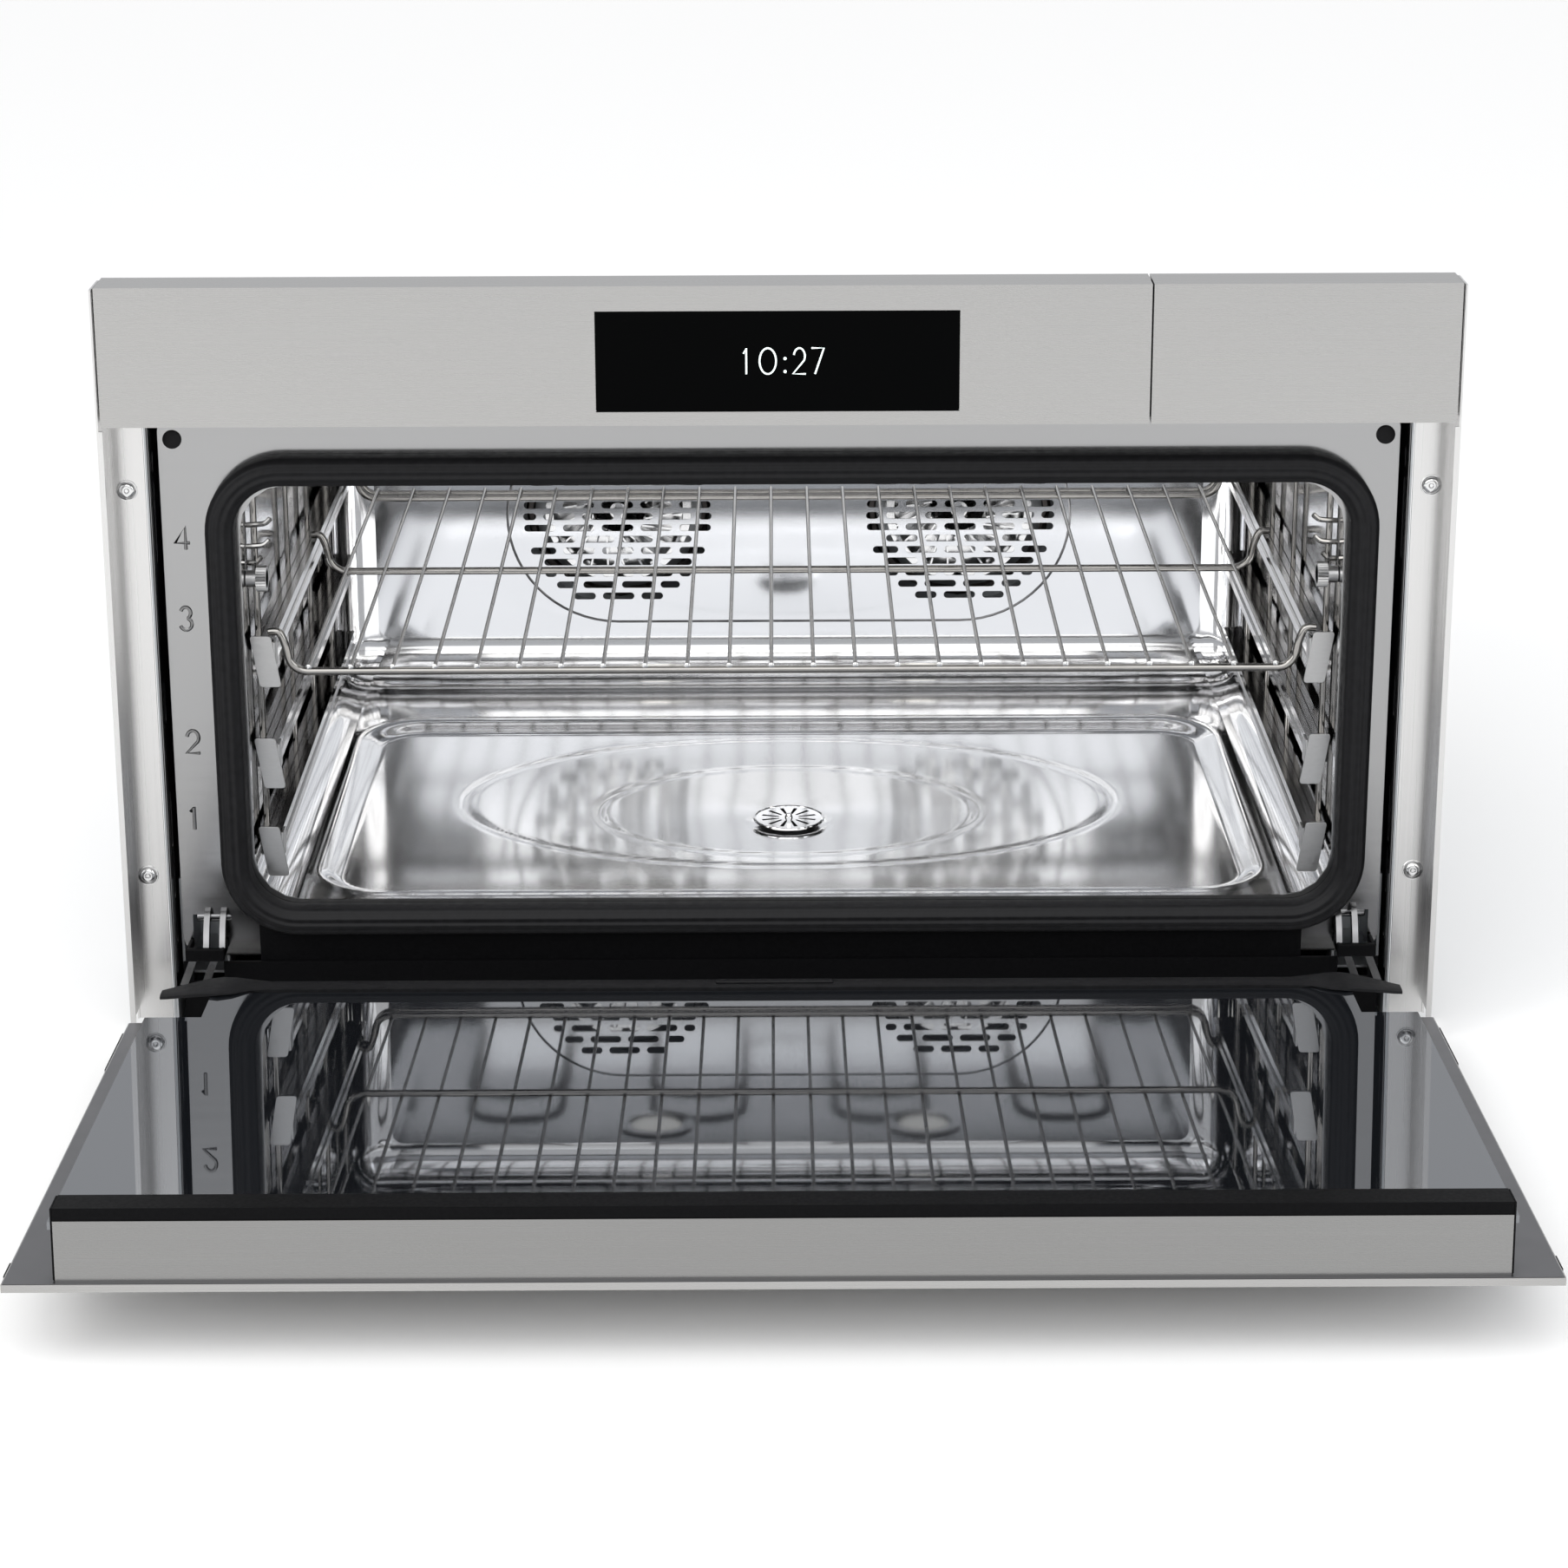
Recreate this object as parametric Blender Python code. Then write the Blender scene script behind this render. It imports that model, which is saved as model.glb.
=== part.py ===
"""Built-in convection steam oven with a drop-down door, telescopic rails and a water tank drawer.

Frame: X to the right, Y into the cabinet, Z up. The origin is the middle of the underside of the
base pan's front, in the plane of the cabinet's face (Y = 0). Lengths are in metres.
"""
import math

import bmesh
import bpy
from mathutils import Matrix, Vector

# ---- overall sizes ----
front_width = 0.759          # fascia and door
unit_height = 0.454
fascia_height = 0.0795
door_gap = 0.0035            # between door and fascia
front_proud = 0.0315         # fascia and closed door ahead of the cabinet's face
casing_width = front_width - 0.0366
casing_height = 0.446        # at the front; the top slopes down to the rear
casing_rear_height = 0.3445
casing_depth = 0.5193
sheet = 0.0012
fit = 0.0003                 # gap between pieces that touch
run = 0.0005                 # gap between pieces that slide

# ---- front ----
plate_y = 0.0125
plate_width = front_width - 0.048
plate_low = 0.040
flange_width = 0.018
flange_sheet = 0.002
lip_width = 0.0032
bumper_x, bumper_z, bumper_r = front_width / 2 - 0.0323, 0.3568, 0.0055
tank_front_width = 0.1714
panel_gap = 0.0010
display_width, display_height, display_z = 0.2030, 0.0574, 0.4111
display_x = -0.0008

# ---- cavity ----
cavity_x = 0.0074            # the cavity sits to the right of the middle
cavity_width, cavity_low, cavity_high = casing_width - 0.0824, 0.069, 0.345
cavity_depth = casing_depth - 0.0701
cavity_corner = 0.024
well_width, well_front, well_back, well_depth = cavity_width - 0.066, 0.052, 0.368, 0.006
gasket_inner_width, gasket_inner_height, gasket_z = cavity_width + 0.001, 0.2583, 0.2024
gasket_band, gasket_depth, gasket_corner = 0.0165, 0.0160, 0.028
drain_x, drain_y, drain_r = 0.0056, 0.182, 0.022

# ---- racks and rails ----
rail_tops = (0.1150, 0.1705, 0.2335)
rail_height, rail_drop = 0.0150, 0.0035
rail_front, rail_length = 0.0285, cavity_depth - 0.0377
rail_steps = [cavity_width / 2 - step for step in (0.0028, 0.0072, 0.0116)]  # outer faces: fixed, middle, runner
rail_thick = 0.0039
tab_width, tab_height, tab_lean, tab_sheet = 0.0125, 0.0310, 0.0050, 0.0012
ladder_wire = 0.0020
rack_wires, rack_wire_r, rack_rod_r = 24, 0.00125, 0.0024
rack_pitch = (cavity_width - 0.0696) / (rack_wires - 1)
rack_drop, rack_front, rack_depth = 0.0225, 0.0385, cavity_depth - 0.0442

# ---- fans and heaters ----
fan_spacing, fan_z, fan_r = 0.2404, 0.187, 0.058
grille_r, slot_length, slot_height, slot_rows, slot_row_pitch = 0.066, 0.0220, 0.0048, 15, 0.0083
slot_pitch = 0.0272
chamber_depth = 0.040
heater_r = 0.0032

# ---- door ----
door_rear_y, door_rear_z = -0.0512, 0.0194  # hinge-side edge of the open door's skin
door_tilt = math.radians(3.2)               # the open door stops this far above level
hem = 0.0040
glass_low, glass_high = 0.0235, 0.0275      # inner pane, above the skin's outer face
glass_inset = 0.0195
bar_width, bar_depth, bar_high = front_width - 0.052, 0.0175, 0.0355
bar_inset = 0.0032           # bar's face behind the skin's upper edge
cap_high = 0.0421
arm_x, arm_thick = front_width / 2 - 0.0390, 0.0090
hem_return = 0.034           # the skin's edge is folded back over this width

# ---- water tank ----
tank_width, tank_low, tank_high, tank_back = tank_front_width - 0.0374, 0.378, 0.412, 0.150

shelf_z = casing_height - fascia_height
half_front = front_width / 2
half_casing = casing_width / 2
fascia_low = unit_height - fascia_height
door_length = fascia_low - door_gap
cavity_front = plate_y + sheet + fit
cavity_back = cavity_front + cavity_depth

for old in list(bpy.data.objects):
    bpy.data.objects.remove(old, do_unlink=True)


# ---- materials ----
def material(name, colour, rough, metal=0.0, alpha=1.0):
    made = bpy.data.materials.new(name)
    made.use_nodes = True
    shader = made.node_tree.nodes["Principled BSDF"]
    shader.inputs["Base Color"].default_value = (*colour, 1.0)
    shader.inputs["Roughness"].default_value = rough
    shader.inputs["Metallic"].default_value = metal
    shader.inputs["Alpha"].default_value = alpha
    made.diffuse_color = (*colour, alpha)
    return made


brushed = material("brushed_stainless", (0.60, 0.60, 0.59), 0.32, 1.0)
polished = material("polished_stainless", (0.78, 0.78, 0.78), 0.08, 1.0)
satin = material("satin_stainless", (0.62, 0.62, 0.62), 0.2, 1.0)
galvanised = material("galvanised_steel", (0.55, 0.57, 0.58), 0.45, 1.0)
rubber = material("black_rubber", (0.02, 0.02, 0.02), 0.6)
black = material("black_plastic", (0.02, 0.02, 0.022), 0.4)
dark_glass = material("dark_glass", (0.01, 0.01, 0.012), 0.05)
clear = material("clear_glass", (0.8, 0.85, 0.85), 0.05, 0.0, 0.35)
tank_plastic = material("tank_plastic", (0.75, 0.8, 0.85), 0.2)
element = material("heater_sheath", (0.12, 0.11, 0.10), 0.45, 1.0)
board = material("circuit_board", (0.03, 0.18, 0.08), 0.5)


# ---- mesh helpers ----
def block(low, high):
    """A closed box between two corners."""
    mesh = bmesh.new()
    size = [h - l for l, h in zip(low, high)]
    middle = [(h + l) / 2 for l, h in zip(low, high)]
    bmesh.ops.create_cube(mesh, size=1.0, matrix=Matrix.Translation(middle) @ Matrix.Diagonal((*size, 1.0)))
    return mesh


def along(axis, point, depth):
    """A point of an outline lying across an axis, at a depth along it."""
    a, b = point
    return {"X": (depth, a, b), "Y": (a, depth, b), "Z": (a, b, depth)}[axis]


def finish_faces(mesh):
    bmesh.ops.recalc_face_normals(mesh, faces=mesh.faces)
    return mesh


def prism(outline, axis, low, high):
    """An outline pushed along an axis."""
    mesh = bmesh.new()
    ends = [[mesh.verts.new(along(axis, p, d)) for p in outline] for d in (low, high)]
    mesh.faces.new(ends[0])
    mesh.faces.new(ends[1])
    count = len(outline)
    for i in range(count):
        j = (i + 1) % count
        mesh.faces.new((ends[0][i], ends[0][j], ends[1][j], ends[1][i]))
    return finish_faces(mesh)


def ring(outer, inner, axis, low, high):
    """Two outlines with the same number of points, pushed along an axis as a frame."""
    mesh = bmesh.new()
    loops = [[mesh.verts.new(along(axis, p, d)) for p in line] for d in (low, high) for line in (outer, inner)]
    count = len(outer)
    for a, b in ((0, 1), (2, 3), (0, 2), (1, 3)):
        for i in range(count):
            j = (i + 1) % count
            mesh.faces.new((loops[a][i], loops[a][j], loops[b][j], loops[b][i]))
    return finish_faces(mesh)


def cup(outer, inner, low, high, wall):
    """A frame along Y whose far end is closed by a wall."""
    mesh = bmesh.new()
    loops = [
        [mesh.verts.new(along("Y", p, d)) for p in line]
        for line, d in ((outer, low), (outer, high), (inner, high - wall), (inner, low))
    ]
    count = len(outer)
    for a, b in ((0, 1), (2, 3), (3, 0)):
        for i in range(count):
            j = (i + 1) % count
            mesh.faces.new((loops[a][i], loops[a][j], loops[b][j], loops[b][i]))
    mesh.faces.new(loops[1])
    mesh.faces.new(loops[2])
    return finish_faces(mesh)


def rounded(middle, width, height, radius, steps=4):
    """Outline of a rectangle with round corners."""
    points = []
    for corner, (sx, sz) in enumerate(((1, 1), (-1, 1), (-1, -1), (1, -1))):
        cx = middle[0] + sx * (width / 2 - radius)
        cz = middle[1] + sz * (height / 2 - radius)
        for step in range(steps + 1):
            angle = math.radians(90 * corner + 90 * step / steps)
            points.append((cx + radius * math.cos(angle), cz + radius * math.sin(angle)))
    return points


def round_outline(middle, radius, sides):
    return [
        (middle[0] + radius * math.cos(2 * math.pi * i / sides), middle[1] + radius * math.sin(2 * math.pi * i / sides))
        for i in range(sides)
    ]


def bladed(middle, hub, tip, blades):
    """Outline of a fan wheel: flat blades around a hub."""
    points = []
    for i in range(blades):
        for share, radius in ((0.0, hub), (0.25, tip), (0.45, tip), (0.55, hub)):
            angle = 2 * math.pi * (i + share) / blades
            points.append((middle[0] + radius * math.cos(angle), middle[1] + radius * math.sin(angle)))
    return points


def tube(path, radius, sides=6, closed=False):
    """A round bar along a path of points."""
    mesh = bmesh.new()
    points = [Vector(p) for p in path]
    count = len(points)
    rings, side = [], None
    for i, point in enumerate(points):
        ahead = points[(i + 1) % count] if closed or i + 1 < count else point
        behind = points[i - 1] if closed or i > 0 else point
        along_path = (ahead - behind).normalized()
        if side is None:
            side = along_path.orthogonal().normalized()
        side = (side - along_path * side.dot(along_path)).normalized()
        up = along_path.cross(side)
        rings.append([
            mesh.verts.new(point + (side * math.cos(a) + up * math.sin(a)) * radius)
            for a in (2 * math.pi * k / sides for k in range(sides))
        ])
    for i in range(count if closed else count - 1):
        a, b = rings[i], rings[(i + 1) % count]
        shift = 0
        if closed and i == count - 1:  # the last ring meets the first where their points are nearest
            shift = min(range(sides), key=lambda s: (a[0].co - b[s].co).length)
        for k in range(sides):
            m = (k + 1) % sides
            mesh.faces.new((a[k], a[m], b[(m + shift) % sides], b[(k + shift) % sides]))
    if not closed:
        mesh.faces.new(rings[0])
        mesh.faces.new(rings[-1])
    return finish_faces(mesh)


def together(meshes):
    """Several closed shapes in one mesh."""
    whole = bmesh.new()
    for mesh in meshes:
        part = bpy.data.meshes.new("part")
        mesh.to_mesh(part)
        mesh.free()
        whole.from_mesh(part)
        bpy.data.meshes.remove(part)
    return whole


def add(name, mesh, finish, origin=(0, 0, 0), parent=None, smooth=False):
    """Makes the object; its mesh is given in the parent's space, and its origin is moved to the joint."""
    bmesh.ops.translate(mesh, verts=mesh.verts, vec=[-c for c in origin])
    data = bpy.data.meshes.new(name)
    mesh.to_mesh(data)
    mesh.free()
    if smooth:
        data.shade_smooth()
        data.set_sharp_from_angle(angle=math.radians(35))
    made = bpy.data.objects.new(name, data)
    made.location = origin
    bpy.context.collection.objects.link(made)
    made.parent = parent
    if finish:
        data.materials.append(finish)
    return made


def boolean(target, mesh, operation, overlapping=False):
    """Cuts a shape from a piece, or joins one to it. The shape is given in the piece's parent's space."""
    tool = add(f"{target.name}_{operation.lower()}", mesh, None, parent=target.parent)
    tool.hide_render = True
    tool.display_type = "WIRE"
    modifier = target.modifiers.new(operation.lower(), "BOOLEAN")
    modifier.operation = operation
    modifier.solver = "EXACT"
    modifier.use_self = overlapping
    modifier.object = tool


def mirrored(side, low, high):
    """Box corners at +X turned into those of the same box on either side."""
    xs = sorted((side * low[0], side * high[0]))
    return (xs[0], *low[1:]), (xs[1], *high[1:])


sides = (("left", -1), ("right", 1))


# ---- casing ----
def make_casing():
    inner = half_casing - sheet - fit
    pan_wall = 0.022
    add("base_pan", prism(
        [(-inner, 0), (inner, 0), (inner, pan_wall), (inner - sheet, pan_wall), (inner - sheet, sheet),
         (-inner + sheet, sheet), (-inner + sheet, pan_wall), (-inner, pan_wall)], "Y", -0.001, casing_depth), galvanised)
    wrap = add("outer_wrap", prism(
        [(fit, 0), (fit, casing_height), (casing_depth, casing_rear_height), (casing_depth, 0)], "X",
        -half_casing, half_casing), galvanised)
    over = 0.01
    fall = (casing_height - casing_rear_height) / casing_depth
    boolean(wrap, prism(
        [(-over, -over), (-over, casing_height - sheet + fall * over),
         (casing_depth + over, casing_rear_height - sheet - fall * over), (casing_depth + over, -over)], "X",
        -half_casing + sheet, half_casing - sheet), "DIFFERENCE")
    back = casing_depth + fit
    cover = add("rear_cover", block((-half_casing, back, 0), (half_casing, back + sheet, casing_rear_height)), galvanised)
    louvres = [
        block((x - 0.025, back - sheet, z - 0.002), (x + 0.025, back + 2 * sheet, z + 0.002))
        for x in (-0.12, -0.04, 0.04, 0.12) for z in (0.296, 0.308, 0.320)
    ]
    boolean(cover, together(louvres), "DIFFERENCE")
    gland_x, gland_z, gland_r = -0.27, 0.308, 0.012
    add("mains_gland", prism(round_outline((gland_x, gland_z), gland_r, 12), "Y",
                             back + sheet + fit, back + sheet + 0.014), black, smooth=True)
    shelf_back = (casing_height - shelf_z) / fall - 0.012
    add("equipment_shelf", block((-inner, cavity_front + 0.004, shelf_z - sheet), (inner, shelf_back, shelf_z)), galvanised)


# ---- front plate, gasket, flanges ----
def make_front():
    top = fascia_low - 0.001
    middle_z = (plate_low + top) / 2
    opening = rounded((cavity_x, gasket_z), gasket_inner_width - 0.004, gasket_inner_height - 0.004, gasket_corner)
    plate = add("front_plate", ring(
        rounded((0, middle_z), plate_width, top - plate_low, 0.012), opening, "Y", plate_y, plate_y + sheet), satin)
    slots = [block(*mirrored(s, (arm_x - arm_thick, plate_y - 0.002, plate_low - 0.01),
                             (arm_x + arm_thick, plate_y + 0.004, 0.066))) for _, s in sides]
    boolean(plate, together(slots), "DIFFERENCE")

    inner = rounded((cavity_x, gasket_z), gasket_inner_width, gasket_inner_height, gasket_corner)
    outer = rounded((cavity_x, gasket_z), gasket_inner_width + 2 * gasket_band,
                    gasket_inner_height + 2 * gasket_band, gasket_corner + gasket_band)
    add("door_gasket", ring(outer, inner, "Y", plate_y - gasket_depth, plate_y - fit), rubber, smooth=True)

    lower = add("lower_front_panel", block((-plate_width / 2, 0.006, 0.0015), (plate_width / 2, 0.006 + sheet, 0.0385)),
                satin)
    notches = [block(*mirrored(s, (arm_x - arm_thick, 0.004, 0.026), (arm_x + arm_thick, 0.010, 0.05)))
               for _, s in sides]
    boolean(lower, together(notches), "DIFFERENCE")

    inside, outside = half_casing + fit, half_front + 0.0032
    wall = outside - 0.0012
    lip_y = -front_proud + hem + 0.0006
    for side, s in sides:
        profile = [(inside, 0), (outside, 0), (outside, lip_y), (outside - lip_width, lip_y),
                   (outside - lip_width, lip_y + sheet), (wall, lip_y + sheet), (wall, -flange_sheet),
                   (inside, -flange_sheet)]
        trim = add(f"flange_{side}", prism([(s * x, y) for x, y in profile], "Z", 0.006, unit_height - 0.002), brushed)
        recess = [block(*mirrored(s, (outside - lip_width - 0.001, lip_y - 0.001, fascia_low - door_gap),
                                  (wall + 0.0001, lip_y + 0.002, unit_height + 0.01))),
                  block(*mirrored(s, (half_front, lip_y - 0.001, 0.0), (outside + 0.001, -flange_sheet - 0.001, 0.013)))]
        boolean(trim, together(recess), "DIFFERENCE")
        add(f"bumper_{side}", prism(round_outline((s * bumper_x, bumper_z), bumper_r, 12), "Y",
                                    plate_y - 0.0017, plate_y - fit), rubber, smooth=True)

        low, high = mirrored(s, (half_front - 0.0505, plate_y + sheet + 0.001, 0.028), (half_front - 0.0225, 0.075, 0.088))
        hinge_box = add(f"hinge_box_{side}", block(low, high), galvanised)
        wall_box = 0.0015
        boolean(hinge_box, block((low[0] + wall_box, low[1] - 0.01, low[2] + wall_box),
                                 (high[0] - wall_box, high[1] - wall_box, high[2] - wall_box)), "DIFFERENCE")
        # the arm reaches forward through its slot, and ends outside the circle that the door's edge sweeps
        arm = [(0.070, 0.050), (0.030, 0.052), (0.008, 0.046), (-0.0085, 0.0335), (-0.0010, 0.0300),
               (0.012, 0.0360), (0.070, 0.0375)]
        xs = sorted((s * (arm_x - arm_thick / 2), s * (arm_x + arm_thick / 2)))
        add(f"hinge_arm_{side}", prism(arm, "X", *xs), polished)


# ---- fascia, display, control board ----
def make_fascia():
    right = half_front - tank_front_width - panel_gap
    face, back = -front_proud, -flange_sheet - run
    fascia = add("control_fascia", block((-half_front, face, fascia_low), (right, back, unit_height)), brushed)
    thick = 0.0015
    boolean(fascia, block((-half_front + thick, face + thick, fascia_low + thick),
                          (right - thick, back + 0.01, unit_height - thick)), "DIFFERENCE")
    window = [(display_x - display_width / 2, display_z - display_height / 2),
              (display_x + display_width / 2, display_z + display_height / 2)]
    cut = block((window[0][0], face - 0.01, window[0][1]), (window[1][0], face + 0.01, window[1][1]))
    boolean(fascia, cut, "DIFFERENCE")
    add("display_glass", block((window[0][0] + fit, face + 0.0001, window[0][1] + fit),
                               (window[1][0] - fit, face + 0.0031, window[1][1] - fit)), dark_glass)
    add("control_board", block((window[0][0] - 0.004, face + 0.012, fascia_low + 0.006),
                               (window[1][0] + 0.004, face + 0.0136, unit_height - 0.006)), board)


# ---- cavity ----
def make_cavity():
    middle = (cavity_x, (cavity_low + cavity_high) / 2)
    height = cavity_high - cavity_low
    inner = rounded(middle, cavity_width, height, cavity_corner)
    outer = rounded(middle, cavity_width + 2 * sheet, height + 2 * sheet, cavity_corner + sheet)
    liner = add("cavity_liner", cup(outer, inner, cavity_front, cavity_back + sheet, sheet), polished)
    well_low = cavity_low - well_depth
    half_well = well_width / 2
    boolean(liner, block((cavity_x - half_well - sheet, well_front - sheet, well_low - sheet),
                         (cavity_x + half_well + sheet, well_back + sheet, cavity_low - sheet / 2)), "UNION")
    boolean(liner, block((cavity_x - half_well, well_front, well_low),
                         (cavity_x + half_well, well_back, cavity_low + 0.004)), "DIFFERENCE")
    cuts = [prism(fan_outline(fan_r + 0.012), "Y", cavity_back - 0.01, cavity_back + 0.01),
            prism(round_outline((drain_x, drain_y), drain_r - 0.004, 12), "Z", well_low - 0.01, well_low + 0.01)]
    cuts += [block((x - 0.027, lamp_y - 0.027, cavity_high - 0.01), (x + 0.027, lamp_y + 0.027, cavity_high + 0.01))
             for x in lamp_xs]
    boolean(liner, together(cuts), "DIFFERENCE")
    for (side, _), x in zip(sides, lamp_xs):
        add(f"lamp_{side}", block((x - 0.0265, lamp_y - 0.0265, cavity_high - 0.002),
                                  (x + 0.0265, lamp_y + 0.0265, cavity_high + 0.006)), clear)
    add("drain_strainer", prism(round_outline((drain_x, drain_y), drain_r, 16), "Z", well_low + fit, well_low + 0.004),
        polished, smooth=True)
    grill, loops, span, reach = [], 4, 0.500, (0.070, 0.290)
    for i in range(2 * loops):
        x = cavity_x - span / 2 + span * i / (2 * loops - 1)
        grill += [(x, y, cavity_high - 0.010) for y in (reach if i % 2 else reach[::-1])]
    add("grill_element", tube(grill, heater_r), element, smooth=True)


lamp_y = 0.33
lamp_xs = (cavity_x - 0.102, cavity_x + 0.102)
fan_xs = (cavity_x - fan_spacing / 2, cavity_x + fan_spacing / 2)


def fan_outline(radius, steps=8):
    """Outline with round ends about both fans."""
    points = []
    for x, start in ((fan_xs[1], -90), (fan_xs[0], 90)):
        for step in range(steps + 1):
            angle = math.radians(start + 180 * step / steps)
            points.append((x + radius * math.cos(angle), fan_z + radius * math.sin(angle)))
    return points


# ---- fans ----
def make_fans():
    cover_r = fan_r + 0.012
    front = cavity_back + fit
    cover = add("fan_cover", prism(fan_outline(cover_r - fit), "Y", cavity_back, cavity_back + sheet), polished)
    slots = []
    for x in fan_xs:
        for row in range(slot_rows):
            dz = (row - (slot_rows - 1) / 2) * slot_row_pitch
            chord = math.sqrt(max(grille_r ** 2 - dz ** 2, 0))
            shift = slot_pitch / 2 if row % 2 else 0.0
            for column in range(-3, 4):
                middle = column * slot_pitch + shift
                low, high = max(middle - slot_length / 2, -chord), min(middle + slot_length / 2, chord)
                if high - low > slot_height * 1.4:
                    slots.append(block((x + low, front - 0.01, fan_z + dz - slot_height / 2),
                                       (x + high, front + 0.01, fan_z + dz + slot_height / 2)))
    boolean(cover, together(slots), "DIFFERENCE")
    start = cavity_back + sheet + fit
    chamber = add("fan_chamber", cup(fan_outline(cover_r + 0.006 + sheet), fan_outline(cover_r + 0.006), start,
                                     start + chamber_depth, sheet), galvanised)
    shaft_r = 0.004
    holes = [prism(round_outline((x, fan_z), shaft_r + run, 10), "Y", start + chamber_depth - 0.01,
                   start + chamber_depth + 0.01) for x in fan_xs]
    boolean(chamber, together(holes), "DIFFERENCE")
    wheel_y = start + 0.012
    motor_y = start + chamber_depth + fit
    for (side, _), x in zip(sides, fan_xs):
        wheel = add(f"fan_wheel_{side}", prism(bladed((x, fan_z), 0.016, fan_r - 0.006, 12), "Y", wheel_y,
                                               wheel_y + 0.018), galvanised, (x, wheel_y, fan_z))
        boolean(wheel, prism(round_outline((x, fan_z), shaft_r, 10), "Y", wheel_y + 0.017, motor_y + 0.004), "UNION")
        motor = add(f"fan_motor_{side}", prism(round_outline((x, fan_z), 0.026, 14), "Y", motor_y,
                                               casing_depth - 0.001), black, smooth=True)
        boolean(motor, prism(round_outline((x, fan_z), shaft_r + run, 10), "Y", motor_y - 0.002, motor_y + 0.006),
                "DIFFERENCE")
        ring_r = fan_r + 0.004
        add(f"ring_element_{side}", tube([(x + ring_r * math.cos(a), wheel_y + 0.009, fan_z + ring_r * math.sin(a))
                                          for a in (2 * math.pi * i / 20 for i in range(20))], heater_r, 6, True),
            element, smooth=True)


# ---- side racks, rails and wire rack ----
def make_rails():
    back = rail_front + rail_length
    for side, s in sides:
        def at(x):
            return cavity_x + s * x
        wall = cavity_width / 2 - ladder_wire - 0.0012
        tops = [top - rail_drop for top in rail_tops]
        low, high = cavity_low + cavity_corner, cavity_high - cavity_corner
        bars = [tube([(at(wall), y, low), (at(wall), y, high)], ladder_wire) for y in (rail_front + 0.03, back - 0.02)]
        for z in (low + 0.004, high - 0.004):
            bars.append(tube([(at(wall), rail_front + 0.022, z), (at(wall), back - 0.012, z)], ladder_wire))
        for top in tops:
            bars.append(block(*[tuple(v) for v in zip(*[sorted(p) for p in zip(
                (at(rail_steps[0] - rail_thick), rail_front + 0.003, top - rail_height),
                (at(rail_steps[0]), back, top))])]))
        frame = add(f"side_rack_{side}", bars[0], polished)
        boolean(frame, together(bars[1:]), "UNION", overlapping=True)
        for level, top in enumerate(tops, 1):
            for kind, outer in (("rail_middle", rail_steps[1]), ("runner", rail_steps[2])):
                start = rail_front + (0.0015 if kind == "runner" else tab_sheet + 0.0012)
                corners = [sorted(p) for p in zip((at(outer - rail_thick), start, top - rail_height),
                                                  (at(outer), back - 0.002, top))]
                piece = add(f"{kind}_{side}_{level}", block(*[tuple(v) for v in zip(*corners)]), polished)
                if kind == "runner":
                    boolean(piece, make_tab(s, level), "UNION")


def make_tab(s, level):
    """The slanted end tab of a runner, in front of all three rail members."""
    top = rail_tops[level - 1]
    outer = rail_steps[0] + 0.0008
    inner = outer - tab_width
    outline = [(inner, top), (outer, top), (outer - tab_lean, top - tab_height),
               (inner - tab_lean, top - tab_height)]
    return prism([(cavity_x + s * x, z) for x, z in outline], "Y", rail_front, rail_front + tab_sheet + 0.0008)


def make_wire_rack():
    half = (rack_wires - 1) * rack_pitch / 2
    top = rail_tops[2] + rack_rod_r - 0.0012 + 0.0004
    low = top - rack_drop
    reach = rail_steps[2] - 0.0004
    back = rack_front + rack_depth
    bars = []
    for y, drop in ((rack_front, rack_drop), (rack_front + rack_depth * 0.52, rack_drop), (back, rack_drop)):
        knee = half + 0.010
        path = [(-reach, top), (-reach + 0.006, top), (-knee, top - drop), (knee, top - drop),
                (reach - 0.006, top), (reach, top)]
        bars.append(tube([(cavity_x + x, y, z) for x, z in path], rack_rod_r))
    for i in range(rack_wires):
        x = cavity_x - half + i * rack_pitch
        bars.append(tube([(x, rack_front - 0.001, low + rack_rod_r), (x, back + 0.001, low + rack_rod_r)],
                         rack_wire_r, 4))
    rack = add("wire_rack", bars[0], polished)
    boolean(rack, together(bars[1:]), "UNION", overlapping=True)


# ---- door ----
def hinge_pole():
    """The point about which the open door's hinge-side edge turns to its closed place."""
    turn = Matrix.Rotation(-(math.pi / 2 - door_tilt), 2)
    opened = Vector((door_rear_y, door_rear_z))
    closed = Vector((-front_proud, 0.0))
    lack = Matrix.Identity(2) - turn
    return lack.inverted() @ (closed - turn @ opened)


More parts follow.
